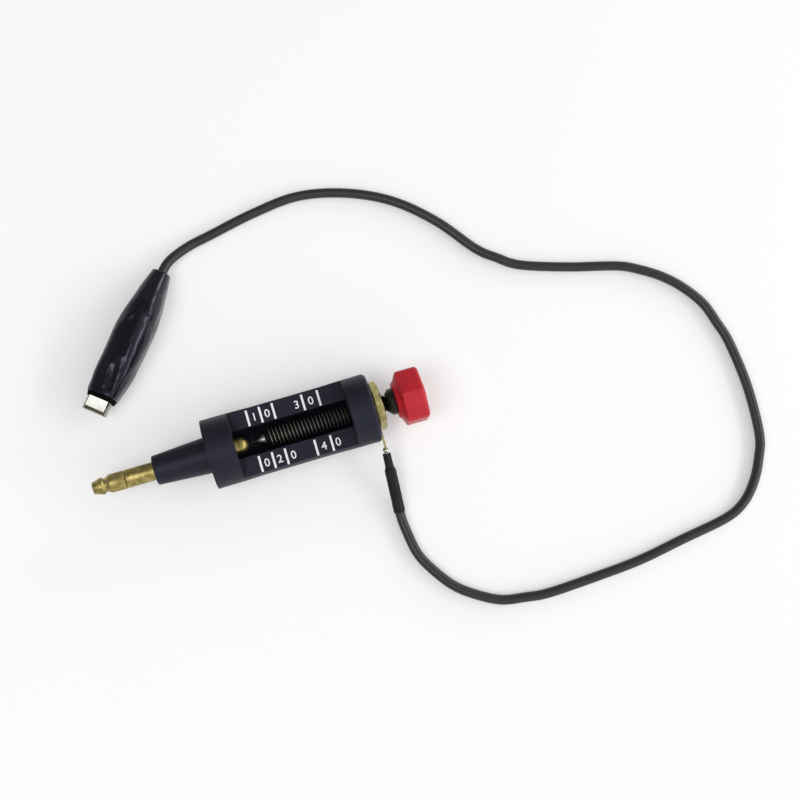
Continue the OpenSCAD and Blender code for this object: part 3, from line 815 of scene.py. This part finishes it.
@dataclass
class Terminal:
    """Brass plug terminal: nut, stud and the stud's ball end.

    The head is the outline of the nut from its tip to its full body: distance behind the tip, and radius. The
    joint is the chamfer on both sides of the line between nut and stud: length and depth.
    """

    nut_x: float = -58.2
    stud_x: float = -47.0
    window_x: float = WINDOW_X
    ball_x: float = -4.35
    r: float = 3.175
    head: tuple[Station, ...] = (
        (0.0, 0.0), (0.0, 1.9), (0.1, 2.02), (2.85, 2.88), (3.05, 2.9), (3.4, 2.9), (3.55, 2.8), (4.0, 2.38),
        (4.25, 2.33), (4.7, 2.4), (5.7, 3.005), (6.0, 3.145)
    )
    body_at: float = 6.2
    joint: Station = (0.35, 0.33)
    ball_r: float = 2.9
    ball_neck: float = 1.0
    ball_steps: int = 14
    nut_edge: float = 0.1
    stud_edge: float = 0.08
    turn_steps: int = 64
    sharp: float = 40.0

    def build(self) -> None:
        """Turns the nut and the stud."""
        self._turn("terminal_nut", self._nut(), self.nut_edge)
        self._turn("terminal_stud", self._stud(), self.stud_edge)

    def _turn(self, node: str, profile: Sequence[Station], edge: float) -> None:
        """Turns one of the two from its profile and rounds its edges."""
        bm = lathe(profile, self.turn_steps)
        soften(bm, edge)
        bm.transform(ON_AXIS)
        add_piece(node + "_turned", bm, BRASS, Body.TESTER, [node], sharp=self.sharp)

    def _nut(self) -> list[Station]:
        """Profile of the screw-on terminal with its rounded head, neck and body."""
        end, (back, drop) = self.stud_x, self.joint
        profile = [(self.nut_x + at, r) for at, r in (*self.head, (self.body_at, self.r))]
        return profile + [(end - back, self.r), (end, self.r - drop), (end, 0.0)]

    def _stud(self) -> list[Station]:
        """Profile of the stud from the nut through the nose to its ball end."""
        x, neck_x, (back, drop) = self.stud_x, self.window_x - self.ball_neck, self.joint
        profile = [(x, 0.0), (x, self.r - drop), (x + back, self.r), (neck_x, self.r), (neck_x, self.ball_r)]
        return profile + arc((self.ball_x - self.ball_r, 0.0), self.ball_r, 90, 0, self.ball_steps)


@dataclass
class Knob:
    """Red knob: round boss, bevelled back, hexagon grip with rounded corners and a domed end.

    Boss and back are rows of station and half width: the boss is round and the back a hexagon.
    """

    x: float = 47.6
    boss: tuple[Station, ...] = ((0.0, 0.0), (0.0, 5.9), (0.1, 6.12), (0.3, 6.3), (1.2, 7.1))
    back: tuple[Station, ...] = ((1.2, 7.12), (2.04, 8.74), (2.2, 8.94))
    grip_at: float = 2.4
    half: float = 9.0
    corner_r: float = 2.3
    corner_share: float = 0.9
    end: float = 9.8
    edge: float = 1.15
    edge_steps: int = 6
    dome: float = 0.8
    dome_steps: int = 8
    around: int = 144
    sharp: float = 30.0

    def build(self) -> None:
        """Wraps the knob's skin round its rows."""
        rows = self._rows()
        bm = wrap_grid(len(rows), self.around, lambda i, t: self._skin(rows[i], t), closed=False)
        bm.transform(ON_AXIS)
        add_piece("knob_red_moulding", bm, KNOB_RED, Body.ADJUSTER, ["knob"], sharp=self.sharp)

    def _rows(self) -> list[tuple[float, float, bool]]:
        """Rows of station, half width and whether the section is round, from the boss to the dome's top."""
        rows = [(at, r, True) for at, r in self.boss]
        rows += [(at, half, False) for at, half in (*self.back, (self.grip_at, self.half))]
        flat = self.half - self.edge
        drop = self.dome * (1 - (flat / self.half) ** 2)
        for k in range(self.edge_steps + 1):
            a = math.pi / 2 * k / self.edge_steps
            at = self.end - self.edge + (self.edge + drop) * math.sin(a)
            rows.append((at, flat + self.edge * math.cos(a), False))
        for k in range(1, self.dome_steps + 1):
            r = flat * (1 - k / self.dome_steps)
            rows.append((self.end + self.dome * (1 - (r / self.half) ** 2), r, False))
        return rows

    def _skin(self, row: tuple[float, float, bool], t: float) -> Vector:
        """Point of a row at an angle from straight up, where the hexagon has a corner."""
        at, half, is_round = row
        r = half if is_round or half == 0 else self._hexagon(half, t)
        return Vector((self.x + at, r * math.sin(t), r * math.cos(t)))

    def _hexagon(self, half: float, t: float) -> float:
        """Radius of the rounded hexagon of a half width, at an angle from one of its corners."""
        sixth = math.pi / 6
        corner_r = min(self.corner_r, half * self.corner_share)
        off = abs((t + sixth) % (2 * sixth) - sixth)
        leaves = sixth - math.atan((half - corner_r) * math.tan(sixth) / half)
        if off >= leaves:
            return half / math.cos(sixth - off)
        reach = (half - corner_r) / math.cos(sixth)
        return reach * math.cos(off) + math.sqrt(corner_r**2 - (reach * math.sin(off)) ** 2)


@dataclass
class Adjuster:
    """Ground point, threaded screw, stop collar, knob and the bush that carries them.

    Point and collar are outlines of station and radius. The thread's stations are shares of its pitch.
    """

    point_x: float = -3.5
    point: tuple[Station, ...] = (
        (0.0, 0.0), (0.0, 0.1), (0.06, 0.17), (4.75, 2.34), (4.9, 2.34), (4.9, 1.5), (10.8, 1.5), (10.8, 0.0)
    )
    screw_x: float = 1.45
    screw_end_x: float = 49.2
    screw_bore_r: float = 1.6
    pitch: float = 1.27
    root_r: float = 2.45
    near_crest_r: float = 3.06
    crest_r: float = 3.15
    thread: tuple[float, ...] = (0.0, 0.1, 0.43, 0.47, 0.55, 0.59, 0.92, 1.0)
    thread_at: float = 0.1
    thread_steps: int = 32
    thread_sharp: float = 25.0
    wear_power: int = 30
    # Painted shade: how quickly the bare crests fade out towards the knob
    shade_fade: float = 1.15
    bush_edge: float = 0.16
    bush_segments: int = 3
    collar_x: float = 44.7
    collar: tuple[Station, ...] = (
        (0.0, 3.2), (0.0, 3.3), (0.06, 3.38), (1.14, 4.48), (1.35, 4.6), (2.65, 4.6), (2.9, 4.4), (2.9, 3.2)
    )
    collar_edge: float = 0.08
    collar_steps: int = 64
    turn_steps: int = 48
    knob: Knob = field(default_factory=Knob)

    def build(self) -> None:
        """Makes the pieces from the window outwards."""
        self._point()
        self._screw()
        self._bush()
        self._collar()
        self.knob.build()

    def _point(self) -> None:
        """Turns the ground cone and its peg."""
        bm = lathe([(self.point_x + at, r) for at, r in self.point], self.turn_steps)
        bm.transform(ON_AXIS)
        add_piece("spark_point_ground", bm, POINT_STEEL, Body.POINT, ["spark_point"])

    def _screw(self) -> None:
        """Makes the screw with its thread, worn at the crests, the bare crests dimmed by painted shade
        towards the knob.
        """
        x, end, bore_r = self.screw_x, self.screw_end_x, self.screw_bore_r
        core = [(x, bore_r), (x, self.root_r), (end, self.root_r), (end, bore_r)]
        bm = lathe(core, self.turn_steps, closed=True)
        self._wind(bm)
        wear_and_shade = [self._wear_and_shade(v.co) for v in bm.verts]
        bm.transform(ON_AXIS)
        screw = add_piece(
            "adjusting_screw_thread", bm, THREAD_BLACK, Body.ADJUSTER, ["adjusting_screw"],
            sharp=self.thread_sharp
        )
        rubbed_and_shaded = screw.data.attributes.new("wear_and_shade", "FLOAT", "POINT")
        rubbed_and_shaded.data.foreach_set("value", wear_and_shade)

    def _wind(self, bm: Skin) -> None:
        """Winds the thread round the screw's core, running out at both ends."""
        core = set(bm.verts)
        root, near, crest = self.root_r, self.near_crest_r, self.crest_r
        rows = zip(self.thread, (root, root, near, crest, crest, near, root, root))
        start = self.screw_x + self.thread_at
        wind = [bm.verts.new((start + self.pitch * at, 0.0, r)) for at, r in rows]
        edges = [bm.edges.new(pair) for pair in zip(wind, wind[1:])]
        turns = int((self.screw_end_x - self.screw_x) / self.pitch) - 1
        bmesh.ops.spin(
            bm, geom=wind + edges, cent=(0, 0, 0), axis=(1, 0, 0), angle=FULL_TURN * turns,
            dvec=(self.pitch / self.thread_steps, 0, 0), steps=self.thread_steps * turns,
            use_merge=False, use_duplicate=False
        )
        bmesh.ops.remove_doubles(bm, verts=[v for v in bm.verts if v not in core], dist=NODE_MERGE)
        helix = [v for v in bm.verts if v not in core]
        first, last = min(v.co.x for v in helix), max(v.co.x for v in helix)
        for v in helix:
            fade = limit(min((v.co.x - first) / self.pitch, (last - v.co.x) / self.pitch))
            r = math.hypot(v.co.y, v.co.z)
            size = (root + (r - root) * fade) / r
            v.co.y *= size
            v.co.z *= size
        bmesh.ops.recalc_face_normals(bm, faces=bm.faces[:])

    def _wear_and_shade(self, at: Vector) -> float:
        """How far the screw shows bare metal at a point: rubbed bare most at the crests, and dimmed by
        painted shade towards the knob.
        """
        height = (math.hypot(at.y, at.z) - self.root_r) / (self.crest_r - self.root_r)
        along = (at.x - self.screw_x) / (self.screw_end_x - self.screw_x)
        return max(0.0, height) ** self.wear_power * max(0.0, 1.0 - self.shade_fade * along)

    def _bush(self) -> None:
        """Rounds the edges of the brass bush."""
        bm = node_copy("hex_bush")
        soften(bm, self.bush_edge, self.bush_segments, BRASS_ANGLE)
        add_piece("hex_bush_brass", bm, BUSH_BRASS, Body.TESTER, ["hex_bush"], evened=True)

    def _collar(self) -> None:
        """Turns the stop collar with its conical front."""
        bm = lathe([(self.collar_x + at, r) for at, r in self.collar], self.collar_steps, closed=True)
        soften(bm, self.collar_edge)
        bm.transform(ON_AXIS)
        add_piece("stop_collar_black", bm, SCREW_BLACK, Body.ADJUSTER, ["stop_collar"])


@dataclass(frozen=True)
class Strands:
    """Twisted bundle of bare strands along X, six of them round a seventh."""

    length: float
    r: float = 0.74
    around: int = 6
    sides: int = 8
    steps: int = 12
    twist: float = 200.0

    def skin(self) -> Skin:
        """Twists the strands.

        Returns:
            The strands' skins.
        """
        bm = bmesh.new()
        wire = self.r / 3
        turn = Matrix.Rotation(math.radians(self.twist) / self.steps, 3, "X")
        for k in range(self.around + 1):
            angle = FULL_TURN * k / self.around
            off = 2 * wire if k < self.around else 0.0
            place = Matrix.Translation((0, off * math.cos(angle), off * math.sin(angle)))
            ring = bmesh.ops.create_circle(
                bm, cap_ends=True, segments=self.sides, radius=wire,
                matrix=place @ Matrix.Rotation(math.pi / 2, 4, "Y")
            )["verts"]
            face = ring[0].link_faces[0]
            for _ in range(self.steps):
                grown = bmesh.ops.extrude_face_region(bm, geom=[face])["geom"]
                face = next(f for f in grown if isinstance(f, bmesh.types.BMFace))
                verts = list(face.verts)
                bmesh.ops.translate(bm, vec=(self.length / self.steps, 0, 0), verts=verts)
                bmesh.ops.rotate(bm, cent=(0, 0, 0), verts=verts, matrix=turn)
        bmesh.ops.recalc_face_normals(bm, faces=bm.faces[:])
        return bm


@dataclass
class EarthLead:
    """Ring tag, solder, sleeve and cord of the earth lead.

    The neck is the sleeve's outline from its end at the tag to its full size: station and radius. The run is
    the cord's lie on the floor from where it leaves the sleeve, and the climb takes it up into the boot.
    """

    bend: Place = (40.1, -12.568, 8.677)
    toward: Place = (-0.052336, -0.96545, -0.255279)
    leave: Place = (38.8047, -36.463, 2.3587)
    tag_edge: float = 0.1
    solder_at: float = 2.6
    solder_r: float = 1.1
    solder_detail: int = 4
    solder_uneven: float = 0.07
    solder_change: float = 1.4
    solder_loss: float = 0.02
    tinned: float = 1.6
    sleeve_at: float = 3.75
    sleeve_end: float = 24.75
    sleeve_r: float = 2.03
    neck: tuple[Station, ...] = (
        (0.0, 1.36), (0.12, 1.48), (2.0, 1.45), (4.4, 1.5), (5.2, 1.64), (5.7, 1.91), (6.4, 2.03)
    )
    sleeve_edge: Station = (0.2, 0.12)
    sleeve_fit: float = 0.06
    sleeve_bore_r: float = 0.82
    bore_slope: float = 0.4
    bore_near: float = 0.01
    sleeve_spans: int = 12
    sleeve_steps: int = 48
    sleeve_uneven: float = 0.035
    sleeve_change: Place = (0.45, 0.5, 0.5)
    sleeve_loss: float = 0.01
    cord_at: float = 10.05
    cord_r: float = 1.7
    cord_z: float = 1.8
    cord_len: float = 459.9
    cord_sides: int = 6
    path_steps: int = 8
    run: tuple[Station, ...] = (
        (0.5, -8), (2, -16), (6, -23.5), (11, -30), (17.5, -35), (25, -39), (33, -40.5), (41.5, -41.5),
        (58.5, -41), (75.5, -40), (92.5, -37.5), (109.5, -35), (117.5, -31.5), (123.5, -25.5), (128, -18),
        (131, -10), (132.5, 7), (131.5, 24), (129.5, 32.5), (127, 40.5), (122, 48), (116, 54), (108.5, 59),
        (101, 62.5), (84, 67), (67.5, 72.5), (60, 77.5), (53.5, 83), (43, 96.5), (30, 108), (14.5, 115.5),
        (-2.5, 119), (-19.5, 117.2), (-36.3, 113.6)
    )
    climb: tuple[Place, ...] = ((-44.6, 111.6, 0.5), (-52, 108.2, 1.8))

    def frame_at(self, distance: float) -> Matrix:
        """Place of a piece along the lead's end: its X runs out along the sleeve from the tag's bend."""
        out = Vector(self.toward)
        side = Vector((0, 0, 1)).cross(out).normalized()
        turn = Matrix((out, side, out.cross(side))).transposed().to_4x4()
        return Matrix.Translation(Vector(self.bend) + distance * out) @ turn

    def build(self) -> list[Piece]:
        """Makes the tag, solder, strands and sleeve.

        Returns:
            The pieces at the lead's tester end.
        """
        bm = node_copy("ring_tag")
        soften(bm, self.tag_edge, angle=BRASS_ANGLE)
        tag = add_piece("ring_tag_brass", bm, BUSH_BRASS, Body.TESTER, ["ring_tag"], evened=True)
        return [tag, self._solder(), self._strands(), self._sleeve()]

    def _solder(self) -> Piece:
        """Lays an uneven bead over the end of the tongue."""
        bm = bmesh.new()
        bmesh.ops.create_icosphere(bm, subdivisions=self.solder_detail, radius=self.solder_r)
        for v in bm.verts:
            v.co *= 1.0 + self.solder_uneven * noise.noise(v.co * self.solder_change) - self.solder_loss
        bm.transform(self.frame_at(self.solder_at))
        return add_piece("solder_blob", bm, SOLDER, Body.TESTER, ["solder_bead"])

    def _strands(self) -> Piece:
        """Twists bare strands between the solder and the cord, tinned where the solder has run."""
        bm = Strands(self.cord_at - self.solder_at).skin()
        mark_faces(bm, lambda face: face.calc_center_median().x < self.tinned)
        bm.transform(self.frame_at(self.solder_at))
        strands = add_piece("tag_strand_bundle", bm, COPPER, Body.TESTER, ["tag_strands"])
        strands.data.materials.append(TINNED.material())
        return strands

    def _sleeve(self) -> Piece:
        """Shrinks the sleeve over the strands and the cord, a little unevenly outside."""
        strand_r, cord_r = self.sleeve_bore_r, self.cord_r + self.sleeve_fit
        length, inner = self.sleeve_end - self.sleeve_at, self.cord_at - self.sleeve_at
        full_at, (back, drop) = self.neck[-1][0], self.sleeve_edge
        span = (length - back - full_at) / self.sleeve_spans
        profile = [(0.0, strand_r), *self.neck]
        profile += [(full_at + span * k, self.sleeve_r) for k in range(1, self.sleeve_spans + 1)]
        profile += [(length, self.sleeve_r - drop), (length, cord_r), (inner + self.bore_slope, cord_r)]
        bm = lathe(profile + [(inner, strand_r)], self.sleeve_steps, closed=True)
        for v in bm.verts:
            r = math.hypot(v.co.y, v.co.z)
            if min(abs(r - strand_r), abs(r - cord_r)) > self.bore_near:
                uneven = self.sleeve_uneven * noise.noise(v.co * Vector(self.sleeve_change))
                swell = 1.0 + uneven - self.sleeve_loss
                v.co.y *= swell
                v.co.z *= swell
        bm.transform(self.frame_at(self.sleeve_at))
        return add_piece("heat_shrink_sleeve", bm, SHRINK_BLACK, Body.TESTER, ["heat_shrink"])

    def path(self) -> list[Vector]:
        """Centreline of the cord from inside the sleeve to inside the clip's boot."""
        leave = Vector(self.leave)
        route = [Vector(self.bend) + self.cord_at * Vector(self.toward), leave]
        route += [Vector((leave.x + x, leave.y + y, self.cord_z)) for x, y in self.run]
        route += [Vector((leave.x + x, leave.y + y, self.cord_z + z)) for x, y, z in self.climb]
        route += [CLIP_FRAME @ Vector((u, 0, CLIP_CORD_Z)) for u in (0, CLIP_CORD_END)]
        return smooth_row(route, self.path_steps)

    def lay_cord(self) -> None:
        cord = wire_curve("lead_cord_skin", self.path(), self.cord_r, self.cord_sides)
        cord.data.materials.append(CORD_GREY.material())
        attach(cord, Body.TESTER.value)
        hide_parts("lead_cord")
        LOG.info("lead_cord_skin: %d points", len(cord.data.splines[0].points))


@dataclass(frozen=True)
class Fold:
    """Ridge or crease in the boot's upper skin, between two points of station and offset from its middle."""

    start: Station
    end: Station
    height: float
    width: float
    tip: float = 0.12

    def lift(self, u: float, v: float) -> float:
        """How far the fold lifts the skin at station u and offset v."""
        a, b, p = Vector(self.start), Vector(self.end), Vector((u, v))
        along = limit((p - a).dot(b - a) / (b - a).length_squared)
        off = (p - a - along * (b - a)).length
        taper = math.sin(math.pi * (self.tip + (1 - 2 * self.tip) * along)) ** 0.5
        return self.height * taper * math.exp(-((off / self.width) ** 2))


@dataclass(frozen=True)
class Crumple:
    """Uneven relief all over the boot's skin: its height and how quickly it changes along each axis."""

    height: float
    change: Place

    def lift(self, at: Vector) -> float:
        """How far the skin is lifted at a point."""
        return self.height * noise.noise(at * Vector(self.change))


@dataclass
class Boot:
    """Soft boot over the clip, with the folds that its levers press into it.

    Rows hold station, half width, underside, top and shift to the right. The lip holds how far ahead of the
    last row and how deep below the outside it runs. Snug is the radius of the grip on the cord, which ends at
    two stations. The hang holds a place by the lower jaw and one by the upper jaw; it is not used. The crest
    holds station, offset from the middle and how steeply the skin falls on its right.
    """

    rows: tuple[tuple[float, ...], ...] = (
        (0, 3.2, 1, 7.3, 0.05), (7, 4.6, 0.3, 11, 0.4), (14, 5.65, 0.1, 14.5, 0.95),
        (22, 6.6, 0.1, 14.6, 0.78), (30, 6.6, 0.1, 14.2, 0.75), (37, 6.55, 0.5, 13.6, 0.65),
        (42, 6.3, 1, 13, 0.5), (47.5, 5.6, 1.4, 12.6, 0.25)
    )
    power: float = 3.0
    wall: float = 0.85
    around: int = 112
    sharp: float = 60.0
    steps: int = 10
    inner_steps: int = 4
    lip: tuple[Station, ...] = ((0.1, 0.06), (0.5, 0.3), (1.2, 0.55), (1.9, 0.7), (2.05, 0.76))
    lip_end: float = 1.95
    # Station past which the lip and inside carry the painted shade
    painted_shade_at: float = 48.1
    snug: float = 2.0
    snug_at: Span = (3.0, 0.1)
    rim: Station = (-0.1, 0.35)
    hang: tuple[Place, Place] = ((0.0, 0.0, 5.7), (0.66, 0.0, 16.18))
    slope: float = 0.22
    rise: float = 0.9
    crest_round: float = 0.55
    crest: tuple[tuple[float, float, float], ...] = (
        (0, 1.5, 0.3), (4.5, 1.7, 0.36), (7.3, 2.1, 0.38), (10.7, 2.5, 0.38), (14.5, 3.0, 0.36),
        (16.3, 3.3, 0.32), (18.6, 1.5, 0.3), (21.4, 1.9, 0.28), (26.5, 2.75, 0.28), (30.4, 3.45, 0.28),
        (32.9, 3.9, 0.28), (35.3, 4.6, 0.26), (36.6, 5.0, 0.25), (43.3, 4.6, 0.2), (50, 4.4, 0.15)
    )
    folds: tuple[Fold, ...] = (
        Fold((13.0, 0.2), (24.5, -3.4), 0.3, 1.3),
        Fold((37.0, -1.7), (46.5, -0.6), 0.4, 0.8),
        Fold((38.0, 0.5), (45.0, 2.4), -0.4, 0.8),
        Fold((36.5, 6.4), (45.0, 5.6), -0.5, 0.7),
        Fold((17.5, 5.8), (23.0, 6.2), -0.6, 1.0),
        Fold((15.6, 0.6), (18.4, 4.4), -0.5, 0.9),
    )
    crumples: tuple[Crumple, ...] = (
        Crumple(0.22, (0.16, 0.28, 0.2)),
        Crumple(0.08, (0.55, 0.7, 0.5)),
    )
    shoulder: float = 2.2
    folds_from: Station = (1.0, 4.0)
    folds_to: Station = (48.0, 3.0)

    def build(self) -> Piece:
        """Forms the boot's shell and sets it in the clip's frame.

        Returns:
            The boot.
        """
        rings = self._rings()
        bm = wrap_grid(len(rings), self.around, lambda i, t: self._skin(rings[i], t), closed=True)
        # Faces past the mouth get the painted shade of the gap between the lip and the jaw
        mark_faces(bm, lambda face: face.calc_center_median().x > self.painted_shade_at)
        bm.transform(CLIP_FRAME)
        boot = add_piece("clip_boot_vinyl", bm, BOOT_BLACK, None, ["clip_boot"], sharp=self.sharp)
        boot.data.materials.append(BOOT_MOUTH_SHADE.material())
        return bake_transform(boot)

    def _rings(self) -> list[tuple[float, ...]]:
        """Rows of the shell from the cord end along the outside, round the mouth's lip and back inside.

        Returns:
            Rings of station, half width, underside, top, shift and depth below the outside.
        """
        given = [Vector(row) for row in self.rows]
        outer = [(*row, 0.0) for row in smooth_row(given, self.steps)]
        inner = [(*row, self.wall) for row in smooth_row(given, self.inner_steps)]
        first, mouth = outer[0], outer[-1]
        lip = [(mouth[0] + ahead, *mouth[1:5], depth) for ahead, depth in self.lip]
        lip.append((mouth[0] + self.lip_end, *mouth[1:5], self.wall))
        low, high = CLIP_CORD_Z - self.snug, CLIP_CORD_Z + self.snug
        tail = [(u, self.snug, low, high, 0.0, 0.0) for u in self.snug_at]
        rim = [(self.rim[0], *first[1:5], self.rim[1])]
        return outer + lip + inner[:0:-1][: -self.inner_steps] + tail + rim

    def _skin(self, ring: tuple[float, ...], t: float) -> Vector:
        """Point of a ring at an angle, lifted by the folds.

        Args:
            ring: Station, half width, underside, top, shift and depth below the outside.
            t: Angle round the boot from its right side over the top.

        Returns:
            The point in the clip's frame.
        """
        u, half, low, high, shift, depth = ring
        half, low, high = half - depth, low + depth, high - depth
        c, s = math.cos(t), math.sin(t)
        y = half * math.copysign(abs(c) ** (2 / self.power), c)
        z = (high - low) / 2 * math.copysign(abs(s) ** (2 / self.power), s)
        climb = self.shoulder * z / (high - low)
        top, free = limit(climb), limit(1.0 + climb)
        lift = top * sum(fold.lift(u, y) for fold in self.folds)
        lift += free * sum(crumple.lift(Vector((u, y, z))) for crumple in self.crumples)
        lift *= limit((u - self.folds_from[0]) / self.folds_from[1])
        lift *= limit((self.folds_to[0] - u) / self.folds_to[1])
        fall = self._fall(u, y) * top
        return Vector((u, shift + y, (low + high) / 2 + z - fall)) + Vector((0.0, c, s)) * lift

    def _fall(self, u: float, y: float) -> float:
        """How far the upper skin lies below the crest that runs along its right shoulder."""
        a, b = next(pair for pair in zip(self.crest, self.crest[1:]) if u <= pair[1][0])
        share = max(0.0, (u - a[0]) / (b[0] - a[0]))
        share = share * share * (3 - 2 * share)
        at, steep = (a[k] + share * (b[k] - a[k]) for k in (1, 2))
        off = y - at
        bend = math.hypot(off, self.crest_round)
        return self.slope * (bend - off) / 2 + steep * (bend + off) / 2 - self.rise


@dataclass
class Clip:
    """Spring clip at the lead's far end: jaws, rivet, spring, wire screw and boot."""

    metals: tuple[tuple[str, Body, float], ...] = (
        ("clip_lower_jaw", Body.TESTER, 0.12),
        ("clip_upper_jaw", Body.CLIP_UPPER, 0.12),
        ("clip_rivet", Body.TESTER, 0.15),
        ("clip_screw", Body.TESTER, 0.15),
    )
    edge_angle: float = 26.0
    # Front faces of the jaws past this station that face ahead get the cut edge with painted shade
    bite_shade_at: float = 51.5
    bite_shade_facing: float = 0.3
    strand_len: float = 3.15
    strand_z: float = 3.17
    rivet_at: float = 30.0
    jaw_z: float = 7.0
    wire_r: float = 0.35
    wire_sides: int = 3
    coil_r: float = 1.85
    coil_half: float = 1.5
    coil_start: float = -90.0
    coil_turn: float = 900.0
    coil_steps: int = 60
    leg: float = 10.0
    upper_leg: float = 3.35
    lower_leg: float = 2.75
    spring_hang: Span = (5.4, 8.6)
    boot: Boot = field(default_factory=Boot)

    def build(self) -> list[Piece]:
        """Makes the clip's pieces.

        Returns:
            The pieces at the lead's far end.
        """
        pieces = [self._metal(node, body, edge) for node, body, edge in self.metals]
        bm = Strands(self.strand_len).skin()
        bm.transform(CLIP_FRAME @ Matrix.Translation((CLIP_CORD_END, 0.0, self.strand_z)))
        pieces.append(add_piece("clip_strand_bundle", bm, COPPER, Body.TESTER, ["clip_strands"]))
        pieces.append(self._spring())
        pieces.append(self.boot.build())
        return pieces

    def _metal(self, node: str, body: Body, edge: float) -> Piece:
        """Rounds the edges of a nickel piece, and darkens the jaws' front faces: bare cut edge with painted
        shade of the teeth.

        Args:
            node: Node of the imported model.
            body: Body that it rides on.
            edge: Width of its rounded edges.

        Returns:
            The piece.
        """
        bm = node_copy(node)
        soften(bm, edge, angle=self.edge_angle)
        has_bite_shade = mark_faces(bm, self._bite_shade_faces)
        piece = add_piece(node + "_nickel", bm, NICKEL, body, [node], evened=True)
        if has_bite_shade:
            piece.data.materials.append(NICKEL_BITE_SHADE.material())
        return piece

    def _bite_shade_faces(self, face: bmesh.types.BMFace) -> bool:
        """Whether a face is at the jaws' tips and faces ahead, where the cut edge with painted shade goes."""
        ahead = Vector((math.cos(CLIP_HEADING), math.sin(CLIP_HEADING), 0.0))
        station = (face.calc_center_median() - CLIP_FRAME.translation).dot(ahead)
        return station > self.bite_shade_at and face.normal.dot(ahead) > self.bite_shade_facing

    def _spring(self) -> Piece:
        """Winds the torsion spring round the rivet, with one leg to each lever.

        Returns:
            The spring.
        """
        route = [Vector((-self.leg, self.coil_half, -self.lower_leg))]
        for k in range(self.coil_steps + 1):
            share = k / self.coil_steps
            a = math.radians(self.coil_turn * share + self.coil_start)
            across = self.coil_half * (1 - 2 * share)
            route.append(Vector((self.coil_r * math.cos(a), across, self.coil_r * math.sin(a))))
        route.append(Vector((-self.leg, -self.coil_half, self.upper_leg)))
        place = CLIP_FRAME @ Matrix.Translation((self.rivet_at, 0.0, self.jaw_z))
        wire = wire_curve("spring_wire", [place @ p for p in route], self.wire_r, self.wire_sides)
        mesh = bpy.data.meshes.new_from_object(wire.evaluated_get(bpy.context.evaluated_depsgraph_get()))
        bpy.data.objects.remove(wire)
        bm = bmesh.new()
        bm.from_mesh(mesh)
        bm.transform(Matrix.Scale(1 / MM, 4))
        spring = add_piece("clip_spring_wire", bm, SPRING_STEEL, None, ["clip_spring"])
        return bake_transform(spring)


def main() -> None:
    """Builds the studio and the tester, in order."""
    logging.basicConfig(level=logging.INFO, format="%(name)s: %(message)s")
    Studio().build()
    lead = EarthLead()
    ends = lead.build() + Clip().build()
    lead.lay_cord()
    Barrel().build()
    GapScale().build()
    Terminal().build()
    Adjuster().build()


if __name__ == "__main__":
    main()
